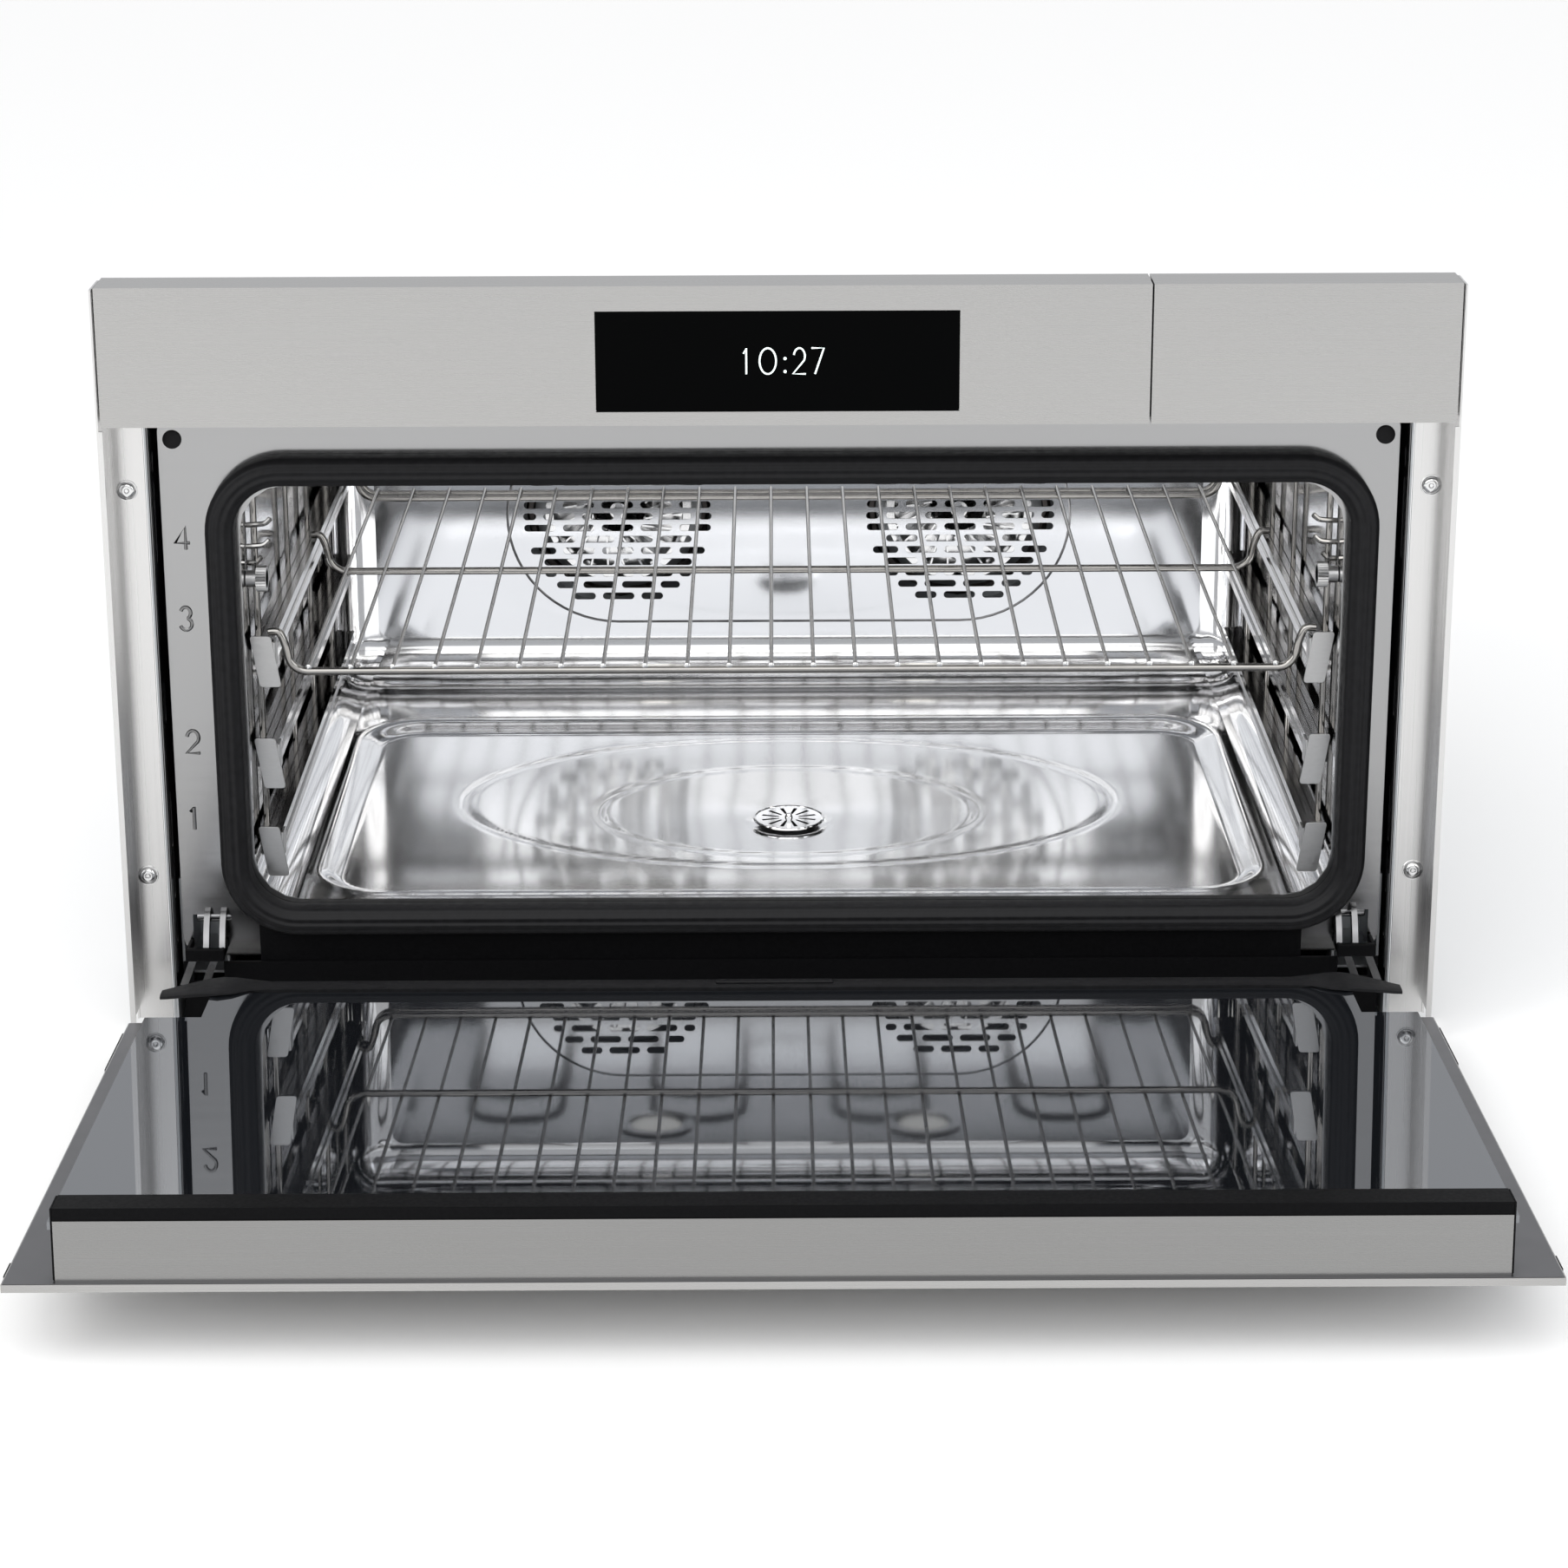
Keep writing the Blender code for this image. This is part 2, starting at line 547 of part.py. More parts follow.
def make_door():
    pole = hinge_pole()
    pivot = bpy.data.objects.new("door_pivot", None)
    bpy.context.collection.objects.link(pivot)
    pivot.location = (0, pole.x, pole.y)
    pivot.rotation_euler.x = -door_tilt
    offset = Matrix.Rotation(door_tilt, 2) @ (Vector((door_rear_y, door_rear_z)) - pole)

    def box(low, high):
        """Corners as X, distance from the hinge-side edge, and height above the skin's face."""
        return block((low[0], offset.x - high[1], offset.y + low[2]), (high[0], offset.x - low[1], offset.y + high[2]))

    def piece(name, mesh, finish):
        return add(name, mesh, finish, parent=pivot)

    skin = piece("door_skin", box((-half_front, 0, 0), (half_front, door_length, hem)), brushed)
    pocket = hem - sheet
    boolean(skin, together([
        box((-half_front + sheet, sheet, sheet), (half_front - sheet, door_length - sheet, pocket)),
        box((-half_front + hem_return, hem_return / 2, pocket - 0.0004),
            (half_front - hem_return, door_length - hem_return, 0.01))]), "DIFFERENCE", overlapping=True)
    half_bar = bar_width / 2
    bar_far = door_length - bar_inset
    bar_near = bar_far - bar_depth
    tube_wall = 0.0012
    bar = piece("door_bar", box((-half_bar, bar_near, hem + fit), (half_bar, bar_far, bar_high)), brushed)
    boolean(bar, box((-half_bar - 0.01, bar_near + tube_wall, hem + fit + tube_wall),
                     (half_bar + 0.01, bar_far - tube_wall, bar_high - tube_wall)), "DIFFERENCE")
    piece("door_bar_cap", box((-half_bar, bar_near, bar_high + fit), (half_bar, bar_far - 0.0004, cap_high)), black)
    frame_x = half_front - glass_inset - 0.008
    glass_far = bar_near - 0.001
    frame_low = 0.058
    frame = piece("door_frame", box((-frame_x, frame_low, hem + fit), (frame_x, glass_far, glass_low - fit)), black)
    boolean(frame, box((-frame_x + 0.019, frame_low + 0.014, 0), (frame_x - 0.019, glass_far + 0.01, 0.05)),
            "DIFFERENCE")
    pane_x = half_front - glass_inset
    glass_near = 0.0150
    glass = piece("door_inner_glass", box((-pane_x, glass_near, glass_low), (pane_x, glass_far, glass_high)),
                  dark_glass)
    arm_room = [box((-pane_x - 0.01, 0, 0.01), (-arm_x + 0.0125, 0.056, 0.05)),
                box((arm_x - 0.0125, 0, 0.01), (pane_x + 0.01, 0.056, 0.05))]
    boolean(glass, together(arm_room), "DIFFERENCE")
    middle_x = frame_x - 0.020
    piece("door_middle_glass", box((-middle_x, frame_low + 0.015, 0.010), (middle_x, glass_far - 0.001, 0.0135)), clear)
    strip_x, strip_near, strip_far = half_front - 0.0075, -0.0040, 0.0090
    piece("door_seal_strip", box((-strip_x, strip_near, 0.0245), (strip_x, strip_far, 0.0280)), rubber)
    return pole


# ---- steam system, cooling blower and water tank ----
def make_services():
    shelf = shelf_z + fit
    blower_x, blower_y, blower_r, blower_high = -0.16, 0.110, 0.045, 0.032
    middle = (blower_x, blower_y)
    housing = add("blower_housing", block((blower_x - 0.062, blower_y - 0.062, shelf),
                                          (blower_x + 0.062, blower_y + 0.10, shelf + blower_high)), galvanised)
    boolean(housing, prism(round_outline(middle, blower_r + 0.006, 20), "Z", shelf + 0.002, shelf + 0.06), "DIFFERENCE")
    boolean(housing, block((blower_x - 0.02, blower_y + 0.040, shelf + 0.002),
                           (blower_x + 0.04, blower_y + 0.12, shelf + blower_high - 0.002)), "DIFFERENCE")
    add("blower_wheel", prism(bladed(middle, 0.014, blower_r, 14), "Z", shelf + 0.006, shelf + blower_high - 0.006), black,
        (blower_x, blower_y, shelf + 0.006))
    add("steam_generator", prism(rounded((0.10, 0.100), 0.15, 0.11, 0.03), "Z", shelf, shelf + 0.044), satin,
        smooth=True)

    tank_x = half_front - tank_front_width + 0.010
    right = tank_x + tank_width
    wall, gap = 0.0020, 0.0010
    bay_low = tank_low - gap - wall
    bay = add("tank_bay", block((tank_x - gap - wall, 0.003, bay_low),
                                (right + gap + wall, tank_back + gap + wall, tank_high)), black)
    boolean(bay, block((tank_x - gap, -0.01, tank_low - gap), (right + gap, tank_back + gap, tank_high + 0.01)),
            "DIFFERENCE")
    face, thick = -front_proud, 0.0015
    left = half_front - tank_front_width
    drawer = add("tank_front", block((left, face, fascia_low), (half_front, -flange_sheet - run, unit_height)), brushed)
    boolean(drawer, block((left + thick, face + thick, fascia_low + thick),
                          (half_front - thick, 0.01, unit_height - thick)), "DIFFERENCE")
    tank = add("water_tank", block((tank_x, face + thick + fit, tank_low), (right, tank_back, tank_high)), tank_plastic)
    boolean(tank, block((tank_x + wall, face + thick + fit + wall, tank_low + wall),
                        (right - wall, tank_back - wall, tank_high + 0.01)), "DIFFERENCE")


make_casing()
make_front()
make_fascia()
make_cavity()
make_fans()
make_rails()
make_wire_rack()
pole = make_door()
make_services()
print(f"door hinge at Y {pole.x:.5f}, Z {pole.y:.5f}; door length {door_length:.4f}")
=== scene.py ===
import math

import bmesh
import bpy
from mathutils import Matrix, Vector


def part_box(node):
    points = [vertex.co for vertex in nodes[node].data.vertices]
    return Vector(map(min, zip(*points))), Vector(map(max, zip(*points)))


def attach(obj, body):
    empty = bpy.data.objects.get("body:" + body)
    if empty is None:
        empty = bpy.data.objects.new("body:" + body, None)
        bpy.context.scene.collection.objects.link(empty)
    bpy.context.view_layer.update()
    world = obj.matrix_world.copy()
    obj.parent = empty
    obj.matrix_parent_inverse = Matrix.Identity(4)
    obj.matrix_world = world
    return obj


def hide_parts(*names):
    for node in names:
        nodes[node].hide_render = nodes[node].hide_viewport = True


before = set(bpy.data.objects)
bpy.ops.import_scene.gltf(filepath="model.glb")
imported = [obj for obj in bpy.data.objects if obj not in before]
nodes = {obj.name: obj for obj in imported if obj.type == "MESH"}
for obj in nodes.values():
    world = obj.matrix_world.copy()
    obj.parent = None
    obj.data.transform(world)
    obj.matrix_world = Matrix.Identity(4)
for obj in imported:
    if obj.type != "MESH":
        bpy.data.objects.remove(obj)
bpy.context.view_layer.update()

sides = (("Left", "left", -1), ("Right", "right", 1))


# camera, floor and lights
camera = {"at": (-0.0036, -2.0529, 0.8749), "pan": 0.0029485, "tilt": 0.2924067, "roll": -0.0033544,
          "lens": 85.37, "shift": -0.1107}


def placeCamera():
    pan, tilt, roll = camera["pan"], camera["tilt"], camera["roll"]
    ahead = Vector((math.sin(pan) * math.cos(tilt), math.cos(pan) * math.cos(tilt), -math.sin(tilt)))
    right = Vector((math.cos(pan), -math.sin(pan), 0))
    up = right.cross(ahead)
    across = right * math.cos(roll) + up * math.sin(roll)
    upward = up * math.cos(roll) - right * math.sin(roll)
    data = bpy.data.cameras.new("ovenCamera")
    data.lens, data.sensor_width, data.shift_y = camera["lens"], 36, camera["shift"]
    data.clip_start, data.clip_end = 0.05, 60
    made = bpy.data.objects.new("ovenCamera", data)
    bpy.context.scene.collection.objects.link(made)
    turn = Matrix((across, upward, -ahead)).transposed().to_4x4()
    made.matrix_world = Matrix.Translation(camera["at"]) @ turn
    bpy.context.scene.camera = made


studio = {"floor": 14.0, "sky": 0.66, "beyond": 0.95, "sun": 1.5, "panels": (
    # place, size, power, warmth, aim
    ((-2.2, -1.6, 1.7), (1.2, 2.2), 24, (1.0, 0.99, 0.97), (0, 0.1, 0.25)),
    ((2.3, -1.3, 1.5), (0.9, 2.2), 18, (0.96, 0.98, 1.0), (0, 0.1, 0.25)),
    ((0.0, -3.3, 1.4), (4.0, 1.5), 17, (1.0, 1.0, 1.0), (0, 0.1, 0.25)),
    ((0.0074, 0.10, 0.325), (0.50, 0.10), 0.20, (1.0, 0.99, 0.97), (0.0074, 0.22, 0.07)),
)}


def makeStudio():
    floorMesh = bpy.data.meshes.new("studioFloor")
    half = studio["floor"]
    corners = [(-half, -half, 0), (half, -half, 0), (half, half, 0), (-half, half, 0)]
    floorMesh.from_pydata(corners, [], [(0, 1, 2, 3)])
    floor = bpy.data.objects.new("studioFloor", floorMesh)
    floor.location.z = -0.0006
    bpy.context.scene.collection.objects.link(floor)
    paint = bpy.data.materials.new("paleFloor")
    paint.use_nodes = True
    shader = paint.node_tree.nodes["Principled BSDF"]
    shader.inputs["Base Color"].default_value = (0.93, 0.93, 0.93, 1)
    shader.inputs["Roughness"].default_value = 0.9
    floorMesh.materials.append(paint)
    world = bpy.data.worlds.new("studioSky")
    bpy.context.scene.world = world
    world.use_nodes = True
    tree = world.node_tree
    sky = tree.nodes["Background"]
    place = tree.nodes.new("ShaderNodeTexCoord")
    split = tree.nodes.new("ShaderNodeSeparateXYZ")
    ramp = tree.nodes.new("ShaderNodeValToRGB")
    tree.links.new(place.outputs["Generated"], split.inputs[0])
    tree.links.new(split.outputs["Z"], ramp.inputs[0])
    tree.links.new(ramp.outputs[0], sky.inputs["Color"])
    ramp.color_ramp.elements[0].position, ramp.color_ramp.elements[0].color = 0.0, (0.62, 0.64, 0.67, 1)
    ramp.color_ramp.elements[1].position, ramp.color_ramp.elements[1].color = 0.75, (1, 1, 1, 1)
    middle = ramp.color_ramp.elements.new(0.22)
    middle.color = (0.80, 0.81, 0.83, 1)
    # a brighter band low behind the object
    behind = tree.nodes.new("ShaderNodeMapRange")
    behind.interpolation_type = "SMOOTHSTEP"
    behind.inputs["From Min"].default_value, behind.inputs["From Max"].default_value = 0.72, 0.90
    behind.inputs["To Min"].default_value, behind.inputs["To Max"].default_value = studio["sky"], studio["beyond"]
    tree.links.new(split.outputs["Y"], behind.inputs["Value"])
    tree.links.new(behind.outputs["Result"], sky.inputs["Strength"])
    sunData = bpy.data.lights.new("softSun", "SUN")
    sunData.energy, sunData.angle = studio["sun"], math.radians(70)
    sun = bpy.data.objects.new("softSun", sunData)
    sun.rotation_euler = (math.radians(32), math.radians(-12), 0)
    bpy.context.scene.collection.objects.link(sun)
    for number, (place, size, power, warmth, aim) in enumerate(studio["panels"]):
        data = bpy.data.lights.new(f"softPanel{number}", "AREA")
        data.shape, data.size, data.size_y, data.energy, data.color = "RECTANGLE", *size, power, warmth
        panel = bpy.data.objects.new(f"softPanel{number}", data)
        panel.location = place
        panel.rotation_euler = (Vector(aim) - Vector(place)).to_track_quat("-Z", "Y").to_euler()
        bpy.context.scene.collection.objects.link(panel)
    view = bpy.context.scene.view_settings
    view.view_transform, view.look, view.exposure = "Standard", "None", 0.0


placeCamera()
makeStudio()
print("stage: camera and studio")

# finishes
finishes = {
    # colour, metal, roughness, stretch of the grain, roughness swing, colour swing, bump in metres, specular level
    "frontSteel": ((0.43, 0.425, 0.418), 1, 0.28, (5, 1900, 1900), 0.035, 0.018, 0.000006, 0.5),
    "flangeSteel": ((0.66, 0.655, 0.650), 1, 0.25, (1400, 1400, 5), 0.03, 0.015, 0.000004, 0.5),
    # numberShadeSteel: the embossed rack numbers in a dark steel, painted shade of their raised strokes
    "numberShadeSteel": ((0.20, 0.20, 0.20), 1, 0.20, (90, 90, 90), 0.05, 0.05, 0.00001, 0.5),
    "plateSteel": ((0.35, 0.35, 0.352), 1, 0.17, (9, 160, 160), 0.03, 0.02, 0.000006, 0.5),
    "mirrorSteel": ((0.86, 0.86, 0.868), 1, 0.045, (7, 5, 9), 0.02, 0.02, 0.00003, 0.5),
    "floorSteel": ((0.90, 0.90, 0.905), 1, 0.100, (7, 5, 9), 0.02, 0.02, 0.00002, 0.5),
    "rearSteel": ((0.61, 0.62, 0.64), 1, 0.085, (7, 9, 6), 0.02, 0.03, 0.00003, 0.5),
    "wallSteel": ((0.83, 0.83, 0.838), 1, 0.07, (6, 9, 9), 0.02, 0.03, 0.00006, 0.5),
    "railSteel": ((0.36, 0.355, 0.35), 1, 0.12, (60, 3, 60), 0.05, 0.06, 0.00002, 0.5),
    "wireSteel": ((0.34, 0.33, 0.315), 1, 0.15, (90, 90, 90), 0.05, 0.06, 0.00001, 0.5),
    "tabSteel": ((0.50, 0.50, 0.50), 1, 0.34, (300, 300, 900), 0.06, 0.04, 0.00001, 0.5),
    "zincSheet": ((0.50, 0.515, 0.53), 1, 0.40, (70, 70, 70), 0.07, 0.05, 0.00001, 0.5),
    "heaterSheath": ((0.11, 0.10, 0.095), 1, 0.42, (80, 80, 80), 0.10, 0.25, 0.00003, 0.5),
    "gasketRubber": ((0.010, 0.010, 0.011), 0, 0.50, (240, 240, 240), 0.08, 0.25, 0.00004, 0.16),
    "blackPlastic": ((0.004, 0.004, 0.0045), 0, 0.46, (500, 500, 500), 0.06, 0.20, 0.00002, 0.05),
    "tankPlastic": ((0.66, 0.72, 0.76), 0, 0.22, (60, 60, 60), 0.05, 0.05, 0.00002, 0.5),
    "boardLaminate": ((0.02, 0.14, 0.06), 0, 0.45, (300, 300, 300), 0.10, 0.20, 0.00002, 0.5),
    # holeShadeBlack: painted shade, a dull black standing in for the unlit space behind slots and down holes
    "holeShadeBlack": ((0.010, 0.010, 0.011), 0, 0.6, (200, 200, 200), 0.10, 0.30, 0.00002, 0.15),
    "channelSteel": ((0.20, 0.20, 0.205), 1, 0.20, (40, 40, 9), 0.08, 0.15, 0.00004, 0.5),
    "barSteel": ((0.28, 0.278, 0.274), 1, 0.27, (5, 1900, 1900), 0.035, 0.018, 0.000006, 0.5),
    "rimSteel": ((0.17, 0.17, 0.178), 1, 0.36, (60, 60, 60), 0.05, 0.05, 0.00001, 0.5),
    "linkSteel": ((0.22, 0.22, 0.225), 1, 0.20, (60, 60, 60), 0.04, 0.04, 0.00001, 0.5),
    # brightSteelAndGlint: bright steel of the screws and fan wheels; on the rack's wire ends it is a painted
    # highlight of the welds
    "brightSteelAndGlint": ((0.70, 0.70, 0.70), 1, 0.12, (60, 60, 60), 0.05, 0.05, 0.00002, 0.5),
}


def makeFinish(name):
    colour, metal, rough, stretch, roughSwing, colourSwing, height, gleam = finishes[name]
    made = bpy.data.materials.new(name)
    made.use_nodes = True
    tree = made.node_tree
    shader = tree.nodes["Principled BSDF"]
    shader.inputs["Metallic"].default_value, shader.inputs["Specular IOR Level"].default_value = metal, gleam
    place = tree.nodes.new("ShaderNodeTexCoord")
    mapping = tree.nodes.new("ShaderNodeMapping")
    mapping.inputs["Scale"].default_value = stretch
    grain = tree.nodes.new("ShaderNodeTexNoise")
    grain.inputs["Scale"].default_value, grain.inputs["Detail"].default_value = 1.0, 5.0
    tree.links.new(place.outputs["Object"], mapping.inputs["Vector"])
    tree.links.new(mapping.outputs["Vector"], grain.inputs["Vector"])
    spread = tree.nodes.new("ShaderNodeMapRange")
    spread.inputs["From Min"].default_value, spread.inputs["From Max"].default_value = 0.3, 0.7
    spread.inputs["To Min"].default_value = max(rough - roughSwing, 0.02)
    spread.inputs["To Max"].default_value = rough + roughSwing
    tree.links.new(grain.outputs["Fac"], spread.inputs["Value"])
    tree.links.new(spread.outputs["Result"], shader.inputs["Roughness"])
    shades = tree.nodes.new("ShaderNodeValToRGB")
    shades.color_ramp.elements[0].position, shades.color_ramp.elements[1].position = 0.3, 0.7
    shades.color_ramp.elements[0].color = (*[c * (1 - colourSwing) for c in colour], 1)
    shades.color_ramp.elements[1].color = (*[min(c * (1 + colourSwing), 1) for c in colour], 1)
    tree.links.new(grain.outputs["Fac"], shades.inputs[0])
    tree.links.new(shades.outputs[0], shader.inputs["Base Color"])
    bump = tree.nodes.new("ShaderNodeBump")
    bump.inputs["Distance"].default_value, bump.inputs["Strength"].default_value = height, 0.6
    tree.links.new(grain.outputs["Fac"], bump.inputs["Height"])
    tree.links.new(bump.outputs["Normal"], shader.inputs["Normal"])
    return made


finish = {name: makeFinish(name) for name in finishes}


def makeGlass(name, colour, ior, rough):
    made = bpy.data.materials.new(name)
    made.use_nodes = True
    tree = made.node_tree
    shader = tree.nodes["Principled BSDF"]
    shader.inputs["Base Color"].default_value = (*colour, 1)
    shader.inputs["IOR"].default_value = ior
    haze = tree.nodes.new("ShaderNodeTexNoise")
    haze.inputs["Scale"].default_value = 12
    spread = tree.nodes.new("ShaderNodeMapRange")
    spread.inputs["To Min"].default_value, spread.inputs["To Max"].default_value = rough, rough + 0.03
    place = tree.nodes.new("ShaderNodeTexCoord")
    tree.links.new(place.outputs["Object"], haze.inputs["Vector"])
    tree.links.new(haze.outputs["Fac"], spread.inputs["Value"])
    tree.links.new(spread.outputs["Result"], shader.inputs["Roughness"])
    return made


finish["mirrorGlass"] = makeGlass("mirrorGlass", (0.008, 0.009, 0.011), 2.9, 0.0)
shader = finish["mirrorGlass"].node_tree.nodes["Principled BSDF"]
shader.inputs["Specular Tint"].default_value = (0.92, 0.95, 1.0, 1)
finish["displayGlass"] = makeGlass("displayGlass", (0.0012, 0.0013, 0.0014), 1.45, 0.03)
shader = finish["displayGlass"].node_tree.nodes["Principled BSDF"]
shader.inputs["Specular IOR Level"].default_value = 0.02


def makeGlow(name, colour, strength):
    made = bpy.data.materials.new(name)
    made.use_nodes = True
    shader = made.node_tree.nodes["Principled BSDF"]
    shader.inputs["Base Color"].default_value = (*colour, 1)
    shader.inputs["Emission Color"].default_value = (*colour, 1)
    shader.inputs["Emission Strength"].default_value = strength
    return made


finish["digitGlow"] = makeGlow("digitGlow", (0.80, 0.90, 0.88), 0.75)
finish["lampGlow"] = makeGlow("lampGlow", (1.0, 0.97, 0.90), 1.3)
print("stage: finishes")


# mesh tools
def block(low, high):
    mesh = bmesh.new()
    size = [abs(h - l) for l, h in zip(low, high)]
    middle = [(h + l) / 2 for l, h in zip(low, high)]
    bmesh.ops.create_cube(mesh, size=1, matrix=Matrix.Translation(middle) @ Matrix.Diagonal((*size, 1)))
    return mesh


def along(axis, point, depth):
    a, b = point
    return {"X": (depth, a, b), "Y": (a, depth, b), "Z": (a, b, depth)}[axis]


def prism(outline, axis, low, high):
    mesh = bmesh.new()
    ends = [[mesh.verts.new(along(axis, p, d)) for p in outline] for d in (low, high)]
    count = len(outline)
    mesh.faces.new(ends[0])
    mesh.faces.new(ends[1])
    for i in range(count):
        j = (i + 1) % count
        mesh.faces.new((ends[0][i], ends[0][j], ends[1][j], ends[1][i]))
    bmesh.ops.recalc_face_normals(mesh, faces=mesh.faces)
    return mesh


def rounded(middle, width, height, radius, steps=8):
    points = []
    for corner, (sx, sz) in enumerate(((1, 1), (-1, 1), (-1, -1), (1, -1))):
        for step in range(steps + 1):
            angle = math.radians(90 * corner + 90 * step / steps)
            points.append((middle[0] + sx * (width / 2 - radius) + radius * math.cos(angle),
                           middle[1] + sz * (height / 2 - radius) + radius * math.sin(angle)))
    return points


def arc(middle, reach, angles):
    # points of an ellipse at some angles in degrees
    return [(middle[0] + reach[0] * math.cos(math.radians(a)), middle[1] + reach[1] * math.sin(math.radians(a)))
            for a in angles]


def stadium(middle, width, height, steps=6):
    return rounded(middle, width, height, min(width, height) / 2 - 0.00001, steps)


def softened(points, radius, steps=5):
    # rounds the corners of an open path
    points = [Vector(p) for p in points]
    path = [points[0]]
    for before, corner, after in zip(points, points[1:], points[2:]):
        a, b = (before - corner), (after - corner)
        reach = min(radius, a.length * 0.49, b.length * 0.49)
        start, stop = corner + a.normalized() * reach, corner + b.normalized() * reach
        for step in range(steps + 1):
            t = step / steps
            path.append(start * (1 - t) ** 2 + corner * 2 * t * (1 - t) + stop * t * t)
    return path + [points[-1]]


def closedLoop(corners, radius, steps=4):
    # the outline of a polygon with rounded corners
    corners = [Vector((*c, 0)) for c in corners]
    points, kept = softened([*corners, *corners[:2]], radius, steps)[1:-1], []
    for p in points:
        if not any((p - q).length < 1e-5 for q in kept):
            kept.append(p)
    return [(p.x, p.y) for p in kept]


def tube(path, radius, sides=10, closed=False):
    mesh = bmesh.new()
    points = [Vector(p) for p in path]
    count = len(points)
    rings, side = [], None
    for i, point in enumerate(points):
        ahead = points[(i + 1) % count] if closed or i + 1 < count else point
        behind = points[i - 1] if closed or i > 0 else point
        way = (ahead - behind).normalized()
        if side is None:
            side = way.orthogonal().normalized()
        side = (side - way * side.dot(way)).normalized()
        up = way.cross(side)
        rings.append([mesh.verts.new(point + (side * math.cos(a) + up * math.sin(a)) * radius)
                      for a in (2 * math.pi * k / sides for k in range(sides))])
    for i in range(count if closed else count - 1):
        a, b = rings[i], rings[(i + 1) % count]
        shift = 0
        if closed and i == count - 1:
            shift = min(range(sides), key=lambda s: (a[0].co - b[s].co).length)
        for k in range(sides):
            m = (k + 1) % sides
            mesh.faces.new((a[k], a[m], b[(m + shift) % sides], b[(k + shift) % sides]))
    if not closed:
        for ring, inward in ((rings[0], points[0] - points[1]), (rings[-1], points[-1] - points[-2])):
            tip = mesh.verts.new(sum((v.co for v in ring), Vector()) / sides + inward.normalized() * radius * 0.35)
            for k in range(sides):
                mesh.faces.new((ring[k], ring[(k + 1) % sides], tip))
    bmesh.ops.recalc_face_normals(mesh, faces=mesh.faces)
    return mesh


def lathe(profile, place, turn=Matrix(), steps=24):
    # profile: radius and height, point by point; turned about Z, then aimed and placed
    mesh = bmesh.new()
    rings = []
    for radius, height in profile:
        if radius < 1e-6:
            rings.append([mesh.verts.new((0, 0, height))])
        else:
            angles = [2 * math.pi * k / steps for k in range(steps)]
            rings.append([mesh.verts.new((radius * math.cos(a), radius * math.sin(a), height)) for a in angles])
    for a, b in zip(rings, rings[1:]):
        for k in range(steps):
            m = (k + 1) % steps
            corners = ([a[0]] if len(a) == 1 else [a[k], a[m]]) + ([b[0]] if len(b) == 1 else [b[m], b[k]])
            mesh.faces.new(corners)
    bmesh.ops.recalc_face_normals(mesh, faces=mesh.faces)
    bmesh.ops.transform(mesh, matrix=Matrix.Translation(place) @ turn.to_4x4(), verts=mesh.verts)
    return mesh


facing = {"front": Matrix.Rotation(math.radians(90), 3, "X"), "back": Matrix.Rotation(math.radians(-90), 3, "X"),
          "left": Matrix.Rotation(math.radians(-90), 3, "Y"), "right": Matrix.Rotation(math.radians(90), 3, "Y")}


def cutSheet(outline, holes, thick, axis, at):
    # a flat sheet with holes, lying across an axis
    curve = bpy.data.curves.new("cutSheet", "CURVE")
    curve.dimensions, curve.fill_mode, curve.extrude = "2D", "BOTH", thick / 2
    for line in [outline, *holes]:
        spline = curve.splines.new("POLY")
        spline.points.add(len(line) - 1)
        for point, (a, b) in zip(spline.points, line):
            point.co = (a, b, 0, 1)
        spline.use_cyclic_u = True
    holder = bpy.data.objects.new("cutSheet", curve)
    bpy.context.scene.collection.objects.link(holder)
    bpy.context.view_layer.update()
    flat = bpy.data.meshes.new_from_object(holder.evaluated_get(bpy.context.evaluated_depsgraph_get()))
    mesh = bmesh.new()
    mesh.from_mesh(flat)
    for v in mesh.verts:
        v.co = along(axis, v.co.xy, at + v.co.z)
    bmesh.ops.remove_doubles(mesh, verts=mesh.verts, dist=1e-6)
    bmesh.ops.recalc_face_normals(mesh, faces=mesh.faces)
    bpy.data.objects.remove(holder)
    bpy.data.curves.remove(curve)
    bpy.data.meshes.remove(flat)
    return mesh


def together(meshes):
    whole = bmesh.new()
    for mesh in meshes:
        part = bpy.data.meshes.new("part")
        mesh.to_mesh(part)
        mesh.free()
        whole.from_mesh(part)
        bpy.data.meshes.remove(part)
    return whole


def piece(name, mesh, look, body="oven", stands=(), bevel=0.0, smooth=40):
    data = bpy.data.meshes.new(name)
    mesh.to_mesh(data)
    mesh.free()
    data.materials.append(finish[look])
    made = bpy.data.objects.new(name, data)
    bpy.context.scene.collection.objects.link(made)
    soften(made, bevel, smooth)
    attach(made, body)
    if stands:
        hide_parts(*stands)
    return made


def soften(made, bevel, smooth=40):
    if smooth:
        made.data.shade_smooth()
        made.data.set_sharp_from_angle(angle=math.radians(smooth))
    if bevel:
        edge = made.modifiers.new("softEdge", "BEVEL")
        edge.width, edge.segments, edge.limit_method = bevel, 2, "ANGLE"
        edge.angle_limit = math.radians(40)
        edge.harden_normals = True


def dress(look, *names, bevel=0.0):
    # a CAD piece whose shape is right gets its finish
    for name in names:
        made = nodes[name]
        made.data.materials.clear()
        made.data.materials.append(finish[look])
        if bevel:
            soften(made, bevel)


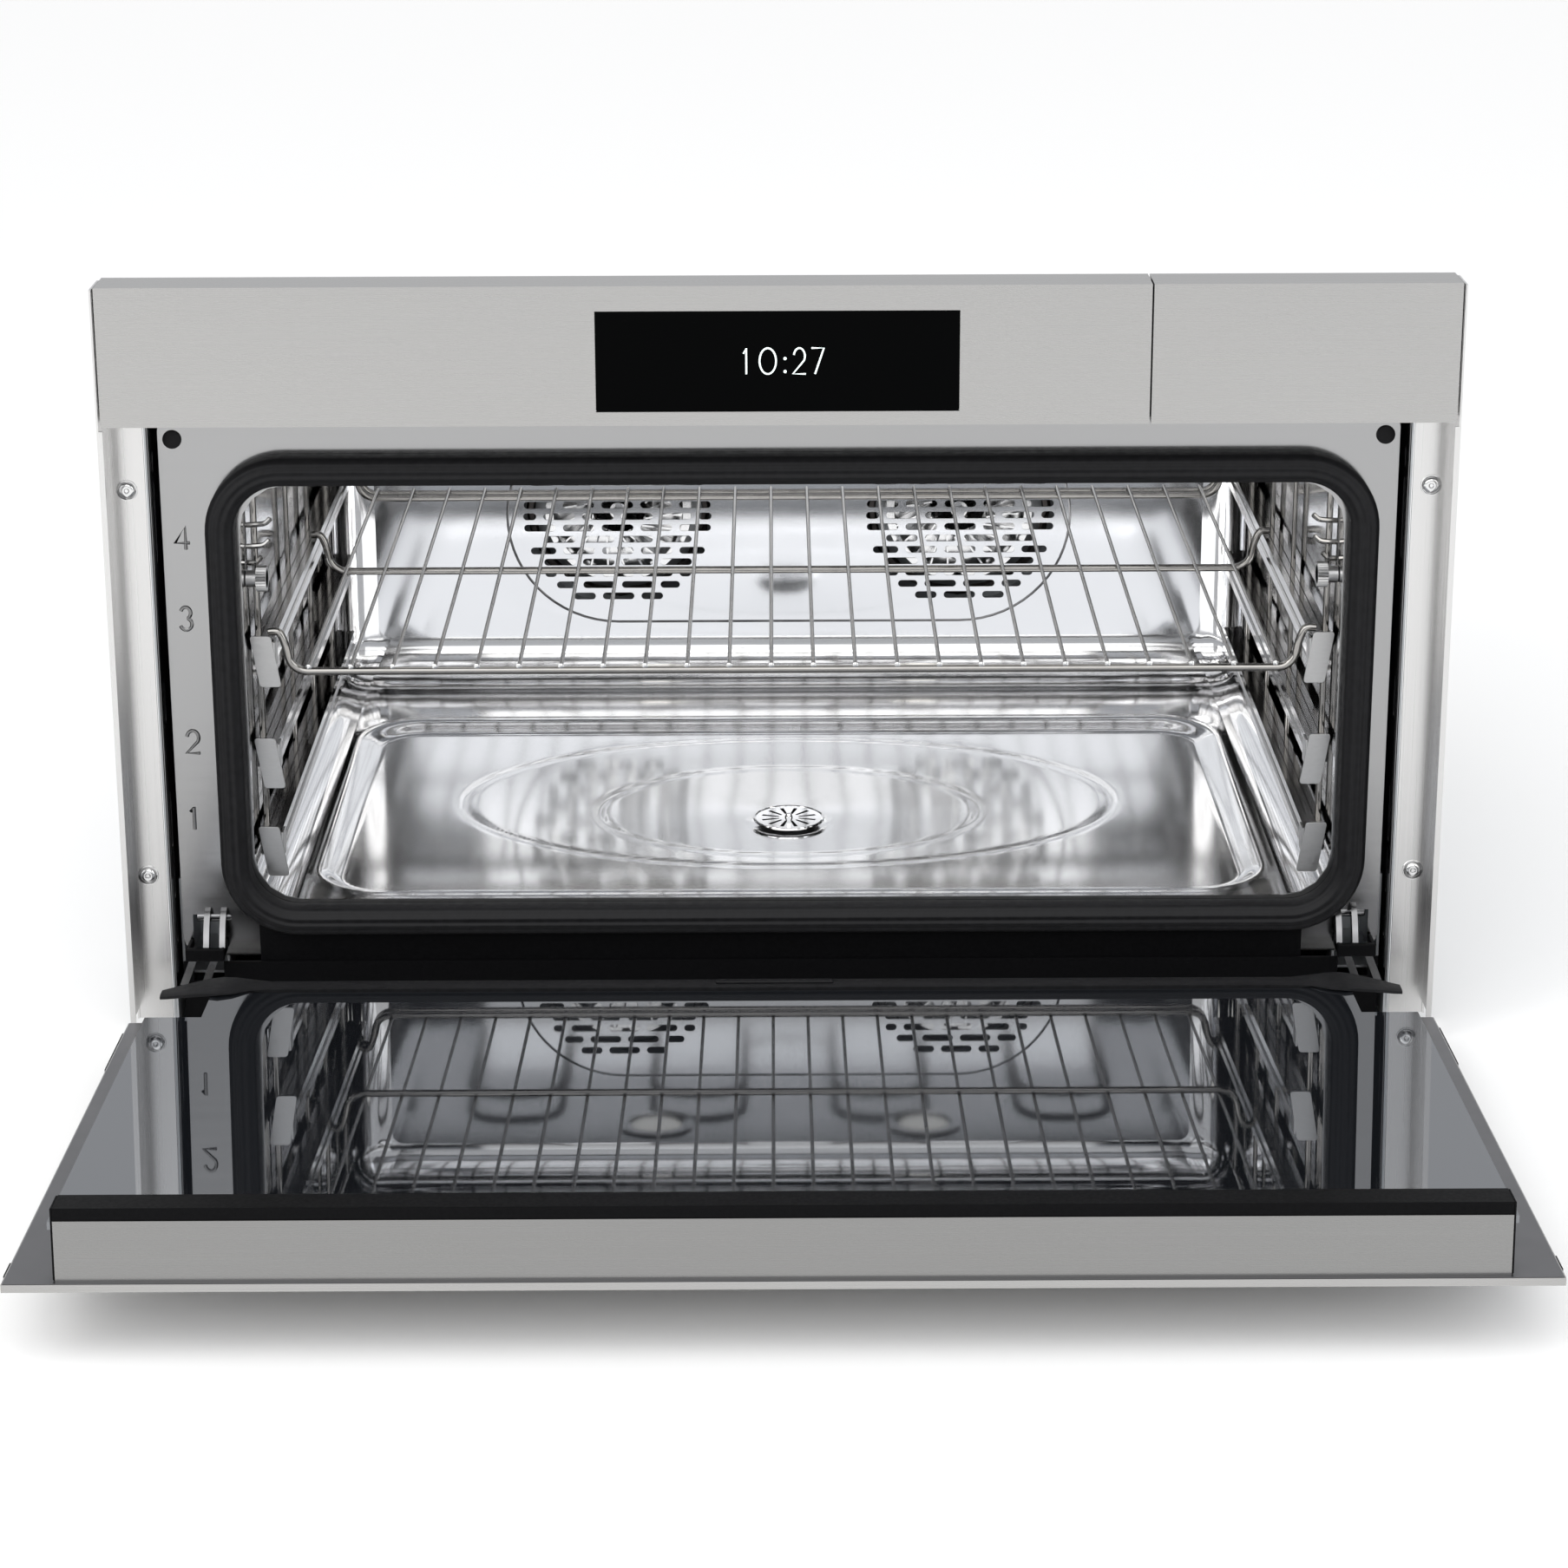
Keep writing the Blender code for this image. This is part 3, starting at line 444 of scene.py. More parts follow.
# fascia, display and clock
fascia = {"edge": 0.0006, "digitWeight": 0.0005, "digitHeight": 0.0147, "digitMiddle": (0.0018, 0.4113)}
strokes = {
    "1": [[(0.16, 0.80), (0.36, 1.0), (0.36, 0.0)]],
    "0": [arc((0.5, 0.5), (0.36, 0.5), range(0, 361, 12))],
    "2": [arc((0.5, 0.69), (0.32, 0.31), range(170, -46, -12)) + [(0.12, 0.0), (0.86, 0.0)]],
    "7": [[(0.14, 1.0), (0.84, 1.0), (0.34, 0.0)]],
    "3": [arc((0.46, 0.75), (0.27, 0.25), range(160, -91, -12))
          + arc((0.46, 0.26), (0.32, 0.26), range(78, -165, -12))],
    "4": [[(0.66, 0.0), (0.66, 0.98), (0.08, 0.28), (0.88, 0.28)]],
}


def drawStrokes(sign, left, low, width, height, y, weight):
    return [tube([(left + width * a, y, low + height * b) for a, b in line], weight, 8) for line in strokes[sign]]


def makeFascia():
    dress("frontSteel", "control_fascia", "tank_front", bevel=fascia["edge"])
    dress("displayGlass", "display_glass", bevel=0.0003)
    dress("boardLaminate", "control_board")
    low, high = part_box("display_glass")
    face = low.y - 0.00015
    height = fascia["digitHeight"]
    weight = fascia["digitWeight"]
    middle, base = fascia["digitMiddle"][0], fascia["digitMiddle"][1] - height / 2
    marks, x = [], middle - 0.0228
    for sign, width in (("1", 0.0078), ("0", 0.0128), (":", 0.0052), ("2", 0.0096), ("7", 0.0098)):
        if sign == ":":
            marks += [lathe([(0, 0.0003), (0.0009, 0.0003), (0.0009, -0.0003)], (x + width / 2, face, base + h),
                            facing["front"], 12) for h in (0.0014, 0.0088)]
        else:
            marks += drawStrokes(sign, x, base, width, height, face, weight)
        x += width + 0.0006
    clock = together(marks)
    for v in clock.verts:
        v.co.y = face + (v.co.y - face) * 0.3
    piece("clockDigits", clock, "digitGlow")
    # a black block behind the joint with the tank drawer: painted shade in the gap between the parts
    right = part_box("control_fascia")[1].x
    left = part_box("tank_front")[0].x
    low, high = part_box("tank_front")
    piece("fasciaGapShade", block((right - 0.004, low.y + 0.006, low.z + 0.003),
                              (left + 0.004, high.y - 0.001, high.z - 0.003)), "blackPlastic")


makeFascia()
print("stage: fascia")

# front plate, gasket, numbers
gasket = {"rings": 3.5, "ridge": 0.0009, "samples": 22, "band": 0.0165, "corner": 0.028}
numbers = {"x": -0.3440, "heights": {"4": 0.2983, "3": 0.2497, "2": 0.1742, "1": 0.1267}, "tall": 0.0138,
           "wide": 0.0105, "weight": 0.0011}


def makeGasket():
    low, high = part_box("door_gasket")
    back, front = high.y, low.y
    band = gasket["band"]
    middle = ((low.x + high.x) / 2, (low.z + high.z) / 2)
    size = (high.x - low.x - 2 * band, high.z - low.z - 2 * band)
    mesh = bmesh.new()
    count = gasket["samples"]
    section = [(0.0, back), (0.0, front + 0.006)]
    for i in range(count + 1):
        t = i / count
        crown = 0.0035 * abs(2 * t - 1) ** 3
        section.append((band * (0.03 + 0.94 * t), front + crown + gasket["ridge"]
                        * (1 - math.cos(2 * math.pi * gasket["rings"] * t)) / 2))
    section += [(band, front + 0.006), (band, back)]
    loops = []
    for out, y in section:
        line = rounded(middle, size[0] + 2 * out, size[1] + 2 * out, gasket["corner"] + out, 14)
        loops.append([mesh.verts.new((x, y, z)) for x, z in line])
    for a, b in zip(loops, loops[1:] + loops[:1]):
        for i in range(len(a)):
            j = (i + 1) % len(a)
            mesh.faces.new((a[i], a[j], b[j], b[i]))
    bmesh.ops.recalc_face_normals(mesh, faces=mesh.faces)
    piece("doorGasket", mesh, "gasketRubber", stands=("door_gasket",), smooth=60)


def makePlate():
    dress("plateSteel", "front_plate", bevel=0.0004)
    dress("blackPlastic", "lower_front_panel", bevel=0.0004)
    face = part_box("front_plate")[0].y
    trim = [(face + 0.0004, 0.0300), (face - 0.0010, 0.0300), (face - 0.0010, 0.0605), (face - 0.0004, 0.0618),
            (face + 0.0004, 0.0618)]
    piece("lowerTrim", prism(trim, "X", -0.310, 0.310), "blackPlastic")
    for sign, z in numbers["heights"].items():
        wide, tall = numbers["wide"], numbers["tall"]
        lines = drawStrokes(sign, numbers["x"] - wide / 2, z - tall / 2, wide, tall, face, numbers["weight"])
        mesh = together(lines)
        for v in mesh.verts:
            v.co.y = face + (v.co.y - face) * 0.7
        # the embossed numbers get a dark steel: painted shade of the embossing
        piece(f"rackNumber{sign}", mesh, "numberShadeSteel")
    for name, cad, _ in sides:
        low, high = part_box(f"bumper_{cad}")
        middle = ((low.x + high.x) / 2, high.y, (low.z + high.z) / 2)
        piece(f"doorBumper{name}", lathe([(0, 0.0014), (0.0042, 0.0014), (0.0053, 0.0009), (0.0055, 0)], middle,
                                         facing["front"]), "gasketRubber", stands=(f"bumper_{cad}",))


makeGasket()
makePlate()
print("stage: gasket and plate")

# mounting flanges, their screws, and the slotted channels beside the plate
flange = {"screwX": 0.3720, "screws": (0.3306, 0.0965), "slots": (
    # height of its middle, length
    (0.3085, 0.050), (0.2000, 0.026), (0.1270, 0.036), (0.0920, 0.030), (0.3440, 0.014), (0.0560, 0.014))}


def screwHead(place, turn, size=1.0):
    cap = [(0, 0.0012), (0.0010, 0.0012), (0.0014, 0.0018), (0.0030, 0.0021), (0.0042, 0.0015), (0.0047, 0.0004),
           (0.0049, 0), (0.0052, 0), (0.0056, 0.0006), (0.0060, 0.0006), (0.0062, 0)]
    return lathe([(r * size, h * size) for r, h in cap], place, turn, 20)


def makeFlanges():
    for name, cad, s in sides:
        dress("flangeSteel", f"flange_{cad}", bevel=0.00035)
        heads = [screwHead((s * flange["screwX"], -0.0020, z), facing["front"]) for z in flange["screws"]]
        piece(f"flangeScrews{name}", together(heads), "brightSteelAndGlint")
        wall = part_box("outer_wrap")[1].x - 0.0012
        holes = [stadium((0.0100, z), 0.0060, tall) for z, tall in flange["slots"]]
        piece(f"channelWall{name}", cutSheet(
            [(-0.0008, 0.006), (0.0300, 0.006), (0.0300, 0.372), (-0.0008, 0.372)], holes, 0.0004, "X",
            s * (wall - 0.0009)), "channelSteel")
        # a black sheet just behind the channel's slots: painted shade for the unlit space behind them
        slotShade = block((s * (wall - 0.0004), -0.0005, 0.008), (s * (wall - 0.0001), 0.030, 0.370))
        piece(f"channelSlotShade{name}", slotShade, "holeShadeBlack")


makeFlanges()
print("stage: flanges")

# cavity
cavity = {"floor": 0.069, "corner": 0.024, "rearCorner": 0.030, "wellMiddle": (0.0062, 0.2035),
          "wellHalf": (0.287, 0.1610), "wellCorner": 0.040, "wellDeep": 0.0055, "slope": 0.012, "bead": 0.0007,
          "ovals": (((0.0053, 0.218), (0.209, 0.121), 0.0020), ((0.0056, 0.200), (0.122, 0.083), 0.0022)),
          "drain": ((0.0056, 0.181), 0.0245, 0.0012)}


def smoothStep(t):
    t = min(max(t, 0), 1)
    return t * t * (3 - 2 * t)


def floorRelief(x, y):
    mx, my = cavity["wellMiddle"]
    hx, hy = cavity["wellHalf"]
    r = cavity["wellCorner"]
    qx, qy = abs(x - mx) - (hx - r), abs(y - my) - (hy - r)
    edge = math.hypot(max(qx, 0), max(qy, 0)) + min(max(qx, qy), 0) - r
    drop = -cavity["wellDeep"] * smoothStep(-edge / cavity["slope"])
    drop += cavity["bead"] * math.exp(-((edge - 0.003) / 0.0025) ** 2)
    for (ox, oy), (a, b), deep in cavity["ovals"]:
        reach = math.hypot((x - ox) / a, (y - oy) / b)
        if reach < 1:
            drop -= deep * (1 - reach) ** 0.85
        drop -= 0.0005 * math.exp(-(((reach - 1) * min(a, b)) / 0.0018) ** 2)
    (dx, dy), wide, deep = cavity["drain"]
    drop -= deep * smoothStep((wide - math.hypot(x - dx, y - dy)) / 0.002)
    return drop


def makeCavity():
    low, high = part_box("cavity_liner")
    sheet = 0.0012
    x0, x1 = low.x + sheet, high.x - sheet
    floorZ, ceiling = cavity["floor"], high.z - sheet
    front, back = low.y, high.y - sheet
    middle, width, height = ((x0 + x1) / 2, (floorZ + ceiling) / 2), x1 - x0, ceiling - floorZ
    turn = cavity["rearCorner"]
    steps = 8
    rows = [(front + (back - turn - front) * i / 24, 0.0) for i in range(25)]
    rows += [(back - turn + turn * math.sin(math.radians(90 * i / steps)),
              turn * (1 - math.cos(math.radians(90 * i / steps)))) for i in range(1, steps + 1)]
    mesh = bmesh.new()
    loops = []
    for y, inset in rows:
        corner = max(cavity["corner"] - inset * 0.5, 0.008)
        line = rounded(middle, width - 2 * inset, height - 2 * inset, corner, 8)
        # starts at the floor's right end, runs up and over to its left end
        half = len(line) * 3 // 4
        line = line[half:] + line[:half]
        loops.append([mesh.verts.new((x, y, z)) for x, z in line])
    for a, b in zip(loops, loops[1:]):
        for i in range(len(a) - 1):
            mesh.faces.new((a[i], a[i + 1], b[i + 1], b[i]))
    piece("cavityWalls", mesh, "wallSteel", stands=("cavity_liner",), smooth=70)
    # pressed floor, which turns up into the rear wall
    mesh = bmesh.new()
    across = 200
    ys = [front + (back - turn - front) * i / 136 for i in range(137)]
    strips = [(y, 0.0) for y in ys] + rows[25:]
    grid = []
    for y, inset in strips:
        shrink = inset + max(cavity["corner"] - inset * 0.5, 0.008)
        left, right = x0 + shrink, x1 - shrink
        line = []
        for i in range(across + 1):
            x = left + (right - left) * i / across
            line.append(mesh.verts.new((x, y, floorZ + inset + floorRelief(x, y))))
        grid.append(line)
    for a, b in zip(grid, grid[1:]):
        for i in range(across):
            mesh.faces.new((a[i], a[i + 1], b[i + 1], b[i]))
    piece("cavityFloor", mesh, "floorSteel", smooth=60)
    makeRearWall(middle, width - 2 * turn, height - 2 * turn, back)


fans = {"middles": (-0.1128, 0.1276), "z": 0.187, "field": 0.066, "slot": (0.0222, 0.0050), "rowPitch": 0.0083,
        "pitch": 0.0272, "rows": 15, "track": 0.077, "blades": 22}


def makeRearWall(middle, width, height, back):
    outline = rounded(middle, width, height, 0.008, 6)
    holes = []
    length, tall = fans["slot"]
    for x in fans["middles"]:
        for row in range(fans["rows"]):
            dz = (row - (fans["rows"] - 1) / 2) * fans["rowPitch"]
            chord = math.sqrt(max(fans["field"] ** 2 - dz ** 2, 0))
            shift = fans["pitch"] / 2 if row % 2 else 0
            for column in range(-3, 4):
                start = max(column * fans["pitch"] + shift - length / 2, -chord)
                stop = min(column * fans["pitch"] + shift + length / 2, chord)
                if stop - start > tall * 1.5:
                    holes.append(stadium((x + (start + stop) / 2, fans["z"] + dz), stop - start, tall, 4))
    piece("rearWall", cutSheet(outline, holes, 0.0008, "Y", back - 0.0003), "rearSteel", stands=("fan_cover",),
          smooth=30)
    r = fans["track"]
    a, b = fans["middles"]
    z = fans["z"]
    line = arc((b, z), (r, r), range(-90, 91, 6)) + arc((a, z), (r, r), range(90, 271, 6))
    track = [(x, back - 0.0002, z) for x, z in line]
    piece("fanPanelCrease", tube(track, 0.0011, 8, True), "channelSteel")


def makeFanWheels():
    for name, cad, _ in sides:
        low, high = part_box(f"fan_wheel_{cad}")
        front, z = low.y, fans["z"]
        x = (low.x + high.x) / 2
        blades = []
        for i in range(fans["blades"]):
            a = 2 * math.pi * i / fans["blades"]
            inner, outer, thick = 0.020, 0.0505, 0.0006
            lean = a + 0.28
            p, q = Vector((math.cos(a), math.sin(a))) * inner, Vector((math.cos(lean), math.sin(lean))) * outer
            side = Vector((-(q - p).y, (q - p).x)).normalized() * thick
            blades.append(prism([(x + v.x, z + v.y) for v in (p - side, q - side, q + side, p + side)], "Y",
                                front + 0.0005, front + 0.0165))
        blades.append(lathe([(0, -0.0172), (0.0515, -0.0172), (0.0515, -0.0180), (0.0, -0.0180)],
                            (x, front, z), facing["front"], 36))
        blades.append(lathe([(0, -0.001), (0.006, -0.001), (0.008, -0.004), (0.012, -0.012), (0.020, -0.0172)],
                            (x, front, z), facing["front"], 24))
        rim = [(0.046, -0.0004), (0.0515, -0.0004), (0.0515, -0.0012), (0.046, -0.0012), (0.046, -0.0004)]
        blades.append(lathe(rim, (x, front, z), facing["front"], 36))
        piece(f"fanWheel{name}", together(blades), "brightSteelAndGlint", f"fan_{cad}", stands=(f"fan_wheel_{cad}",))


strainer = {"drop": 0.0052, "radius": 0.0218, "slots": 12, "slot": (0.0065, 0.0175, 0.0013)}


def makeStrainer():
    low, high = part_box("drain_strainer")
    x, y = (low.x + high.x) / 2, (low.y + high.y) / 2
    top, r = cavity["floor"] - strainer["drop"], strainer["radius"]
    petals = []
    for i in range(strainer["slots"]):
        a = 2 * math.pi * (i + 0.5) / strainer["slots"]
        inner, outer, half = strainer["slot"]
        way, side = Vector((math.cos(a), math.sin(a))), Vector((-math.sin(a), math.cos(a)))
        petals.append([(x + p.x, y + p.y) for p in (way * inner - side * half * 0.6, way * outer - side * half,
                                                    way * outer + side * half, way * inner + side * half * 0.6)])
    disc = arc((x, y), (r, r), range(0, 360, 9))
    plate = cutSheet(disc, petals, 0.0008, "Z", top)
    rim = tube([(a, b, top) for a, b in disc], 0.0009, 8, True)
    knob = lathe([(0, 0.0032), (0.0016, 0.0030), (0.0022, 0.0018), (0.0026, 0.0004)], (x, y, top))
    clip = block((x - 0.0012, y - 0.016, top + 0.0004), (x + 0.0012, y + 0.016, top + 0.0022))
    piece("drainStrainer", together([plate, rim, knob, clip]), "mirrorSteel", stands=("drain_strainer",))
    # a black disc below the strainer: painted shade for the unlit drain hole
    dark = lathe([(0, -0.0015), (0.0208, -0.0015), (0.0208, -0.0018)], (x, y, top + 0.0005), steps=32)
    piece("drainHoleShade", dark, "holeShadeBlack")


def makeHeaters():
    dress("heaterSheath", "ring_element_left", "ring_element_right")
    low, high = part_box("grill_element")
    z = (low.z + high.z) / 2
    path, runs = [], 8
    for i in range(runs):
        x = low.x + 0.004 + (high.x - low.x - 0.008) * i / (runs - 1)
        ends = (low.y + 0.004, high.y - 0.004)
        path += [(x, y, z) for y in (ends if i % 2 == 0 else ends[::-1])]
    piece("grillElement", tube(softened(path, 0.034, 8), 0.0031, 12), "heaterSheath", stands=("grill_element",))
    for name, cad, _ in sides:
        low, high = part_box(f"lamp_{cad}")
        x, y = (low.x + high.x) / 2, (low.y + high.y) / 2
        piece(f"lampGlass{name}", lathe([(0, -0.0030), (0.010, -0.0026), (0.018, -0.0014),
              (0.0225, 0.0006), (0.0225, 0.0016), (0, 0.0016)], (x, y, low.z + 0.0030), steps=36), "lampGlow",
              stands=(f"lamp_{cad}",), smooth=60)
        frameOutline, opening = stadium((x, y), 0.058, 0.058, 9), stadium((x, y), 0.044, 0.044, 9)
        piece(f"lampFrame{name}", cutSheet(frameOutline, [opening], 0.0016, "Z", low.z + 0.0010), "wallSteel")


makeCavity()
makeFanWheels()
makeStrainer()
makeHeaters()
dress("zincSheet", "fan_chamber", "fan_motor_left", "fan_motor_right")
print("stage: cavity")

# side racks, rails and the wire rack
rails = {"tops": (0.1115, 0.1670, 0.2300), "tall": 0.0150, "thick": 0.0039, "middle": 0.0074,
         "faces": (0.3172, 0.3128, 0.3084), "tab": (0.0125, 0.0310, 0.0050), "wire": 0.0020}


def railProfile(kind, outer, top):
    # points as distance from the cavity's middle, and height
    t, h, w, lip = 0.0009, rails["tall"], rails["thick"], 0.0030
    if kind == "runner":
        shape = [(0, 0), (0, lip), (t, lip), (t, t), (w - t, t), (w - t, h * 0.36), (w - t - 0.0009, h * 0.42),
                 (w - t - 0.0009, h * 0.58), (w - t, h * 0.64), (w - t, h - t), (t, h - t), (t, h - lip),
                 (0, h - lip), (0, h), (w, h), (w, h * 0.66), (w - 0.0010, h * 0.60), (w - 0.0010, h * 0.40),
                 (w, h * 0.34), (w, 0)]
    else:
        shape = [(0, 0), (w, 0), (w, lip), (w - t, lip), (w - t, t), (t, t), (t, h - t), (w - t, h - t),
                 (w - t, h - lip), (w, h - lip), (w, h), (0, h)]
    return [(outer - a, top - h + b) for a, b in shape]


def fromMiddle(s, outline):
    # an outline given as distance from the cavity's middle, put on one side
    return [(rails["middle"] + s * a, b) for a, b in outline]


# side ladders: front and rear posts, light uprights, ends of the long wires, lowest and highest wire
ladder = {"posts": (0.0585, 0.405), "uprights": (0.200, 0.300), "ends": (0.040, 0.425), "heights": (0.0935, 0.3205),
          "out": 0.3168, "hooks": ((0.2995, 0.3040), (0.2865, 0.3050), (0.2765, 0.3100))}
nut = {"y": 0.0390, "z": 0.2660, "teeth": 28, "crest": 0.0076, "root": 0.0070, "span": (0.3135, 0.3075),
       "neck": 0.3195}


def makeRails():
    for name, cad, s in sides:
        bars, wire = [], rails["wire"]
        wall = rails["middle"] + s * ladder["out"]
        bottom, up = ladder["heights"]
        for y in ladder["posts"]:
            bars.append(tube([(wall, y, bottom), (wall, y, up)], wire))
        for z in (bottom + 0.002, up - 0.002):
            bars.append(tube(softened([(wall, y, z) for y in ladder["ends"]], 0.004), wire))
        for y in ladder["uprights"]:
            bars.append(tube([(wall, y, bottom + 0.002), (wall, y, up - 0.002)], wire * 0.8))
        # the hooks of the upper level, their holder, and the knurled nut that fixes the ladder
        middle = rails["middle"]
        for z, reach in ladder["hooks"]:
            hook = [(0.3188, 0.0430, z - 0.002), (0.3130, 0.0400, z - 0.001), (reach + 0.003, 0.0385, z),
                    (reach, 0.0385, z + 0.003)]
            bars.append(tube(softened([(middle + s * a, b, c) for a, b, c in hook], 0.003, 4), 0.0016, 8))
        piece(f"ladderWires{name}", together(bars), "wireSteel", stands=(f"side_rack_{cad}",))
        teeth = []
        for k in range(2 * nut["teeth"]):
            a, r = math.pi * k / nut["teeth"], nut["crest"] if k % 2 else nut["root"]
            teeth.append((nut["y"] + r * math.cos(a), nut["z"] + r * math.sin(a)))
        neck = [(0, 0.0120), (0.0052, 0.0120), (0.0060, 0.0112), (0.0060, 0.0060), (0.0050, 0.0056), (0.0050, 0)]
        knurled = [prism(teeth, "X", *sorted(middle + s * a for a in nut["span"])),
                   lathe(neck, (middle + s * nut["neck"], nut["y"], nut["z"]),
                         facing["left" if s > 0 else "right"], 20)]
        piece(f"ladderNut{name}", together(knurled), "tabSteel")
        fixed = [prism(fromMiddle(s, railProfile("fixed", rails["faces"][0], top)), "Y", 0.0320, 0.4400)
                 for top in rails["tops"]]
        piece(f"fixedRails{name}", together(fixed), "railSteel")
        for level, top in enumerate(rails["tops"], 1):
            moving = "rack" if level == 3 else f"rail_{cad}_{level}"
            following = "rack_middles" if level == 3 else f"middle_{cad}_{level}"
            low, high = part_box(f"rail_middle_{cad}_{level}")
            outline = fromMiddle(s, railProfile("middle", rails["faces"][1], top))
            piece(f"railMiddle{name}{level}", prism(outline, "Y", low.y, high.y), "railSteel", following,
                  stands=(f"rail_middle_{cad}_{level}",))
            low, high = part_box(f"runner_{cad}_{level}")
            outline = fromMiddle(s, railProfile("runner", rails["faces"][2], top))
            piece(f"runner{name}{level}", prism(outline, "Y", low.y + 0.0010, high.y), "railSteel", moving,
                  stands=(f"runner_{cad}_{level}",))
            makeTab(f"runnerTab{name}{level}", s, top, low.y, moving)


def makeTab(name, s, top, front, moving):
    wide, tall, lean = rails["tab"]
    outer = rails["faces"][0] + 0.0008
    high = top + 0.0035
    corners = [(outer - wide, high), (outer, high), (outer - lean, high - tall), (outer - wide - lean, high - tall)]
    outline = fromMiddle(s, closedLoop(corners, 0.0022))
    hook = block((rails["middle"] + s * (outer - wide - 0.0022), front + 0.0004, high - tall * 0.62),
                 (rails["middle"] + s * (outer - wide - 0.0010), front + 0.012, high - tall * 0.12))
    piece(name, together([prism(outline, "Y", front, front + 0.0012), hook]), "tabSteel", moving, bevel=0.0002)


rack = {"front": 0.0385, "back": 0.4435, "wires": 24, "pitch": 0.0248, "wire": 0.00125, "rod": 0.0024,
        "plane": 0.2107, "top": 0.2345}


def makeWireRack():
    front, back = rack["front"], rack["back"]
    middle = rails["middle"]
    half = (rack["wires"] - 1) * rack["pitch"] / 2
    bars = []
    for y in (front, front + 0.212, back - 0.012, back):
        path = []
        for s in (-1, 1):
            side = [(0.3080, rack["top"] - 0.0008), (0.3020, rack["top"] - 0.0004), (0.2985, rack["top"] - 0.008),
                    (0.2965, rack["plane"] + 0.004), (0.2900, rack["plane"] - 0.0016)]
            points = [(middle + s * a, y, z) for a, z in side]
            path += points if s < 0 else points[::-1]
        bars.append(tube(softened(path, 0.006, 5), rack["rod"], 12))
    piece("rackRods", together(bars), "wireSteel", "rack", stands=("wire_rack",), smooth=60)
    wires, ends = [], []
    for i in range(rack["wires"]):
        x = middle - half + i * rack["pitch"]
        z = rack["plane"] + rack["rod"] * 0.5
        wires.append(tube([(x, front - 0.0012, z), (x, back + 0.0012, z)], rack["wire"], 8))
        tip = [(0, 0.0006), (0.0010, 0.0005), (0.0017, 0)]
        ends.append(lathe(tip, (x, front - 0.0014, z), facing["front"], 10))
    piece("rackWires", together(wires), "wireSteel", "rack", smooth=60)
    # the wire ends get a brighter steel than the wires: painted highlight of the welded tips
    piece("rackWireEndGlints", together(ends), "brightSteelAndGlint", "rack")


makeRails()
makeWireRack()
print("stage: rails and rack")

# door: at rest it is open, its outer edge a little higher than its hinge
door = {"y": -0.0512, "z": 0.0194, "tilt": math.radians(3.2)}


def doorPoint(x, out, up):
    c, s = math.cos(door["tilt"]), math.sin(door["tilt"])
    return Vector((x, door["y"] - out * c + up * s, door["z"] + out * s + up * c))


def onDoor(mesh):
    # mesh built with X, distance from the hinge edge and height above the skin's outer face
    for v in mesh.verts:
        v.co = doorPoint(*v.co)
    bmesh.ops.recalc_face_normals(mesh, faces=mesh.faces)
    return mesh


def makeDoor():
    dress("frontSteel", "door_skin", bevel=0.0004)
    dress("barSteel", "door_bar", bevel=0.0005)
    dress("blackPlastic", "door_bar_cap", bevel=0.0012)
    dress("blackPlastic", "door_frame")
    dress("mirrorGlass", "door_inner_glass", bevel=0.0004)
    dress("displayGlass", "door_middle_glass")
    for name, _, s in sides:
        plug = [(0.3535 * s, 0.3506, 0.0046), (0.3535 * s + 0.0012 * s, 0.3674, 0.0421)]
        piece(f"barEnd{name}", onDoor(block(plug[0], plug[1])), "blackPlastic", "door", bevel=0.0005)
    # the grey inner face of the skin's folded edge
    outline = [(-0.3788, 0.0006), (0.3788, 0.0006), (0.3788, 0.3704), (-0.3788, 0.3704)]
    hole = [(-0.3330, 0.0200), (0.3330, 0.0200), (0.3330, 0.3490), (-0.3330, 0.3490)]
    piece("doorRim", onDoor(cutSheet(outline, [hole], 0.0002, "Z", 0.0042)), "rimSteel", "door")
    # seal strip: a channel of rubber whose ends flare and turn down
    mesh = bmesh.new()
    # half of the strip: distance from the middle, near and far edge, top and underside
    wing = [(0.0, -0.0040, 0.0090, 0.0282, 0.0246), (0.296, -0.0040, 0.0090, 0.0282, 0.0246),
            (0.306, -0.0050, 0.0130, 0.0290, 0.0278), (0.316, -0.0058, 0.0200, 0.0300, 0.0280),
            (0.324, -0.0056, 0.0225, 0.0304, 0.0282), (0.332, -0.0036, 0.0212, 0.0300, 0.0272),
            (0.340, -0.0008, 0.0198, 0.0290, 0.0262), (0.347, 0.0018, 0.0184, 0.0280, 0.0252),
            (0.353, 0.0036, 0.0170, 0.0270, 0.0242), (0.358, 0.0050, 0.0158, 0.0262, 0.0236)]
    half = [(x, Vector(v)) for x, *v in wing]
    loops = []
    fine = []
    for (x0, v0), (x1, v1) in zip(half, half[1:]):
        fine += [(x0 + (x1 - x0) * t / 3, v0.lerp(v1, t / 3)) for t in range(3 if x0 > 0.2 else 1)]
    fine.append(half[-1])
    for x, (near, far, top, under) in [(-x, v) for x, v in reversed(fine[1:])] + fine:
        line = [(near, under), (near, top - 0.0010), (near + 0.0010, top), (far - 0.0020, top), (far, top - 0.0008),
                (far, under + 0.0003), (far - 0.0010, under)]
        loops.append([mesh.verts.new((x, *p)) for p in line])
    for a, b in zip(loops, loops[1:]):
        for i in range(len(a)):
            j = (i + 1) % len(a)
            mesh.faces.new((a[i], a[j], b[j], b[i]))
    mesh.faces.new(loops[0])
    mesh.faces.new(loops[-1])
    piece("doorSeal", onDoor(mesh), "gasketRubber", "door", stands=("door_seal_strip",))
    piece("doorSealLug", onDoor(block((-0.038, 0.0000, 0.0282), (0.030, 0.0050, 0.0296))), "gasketRubber", "door",
          bevel=0.0006)


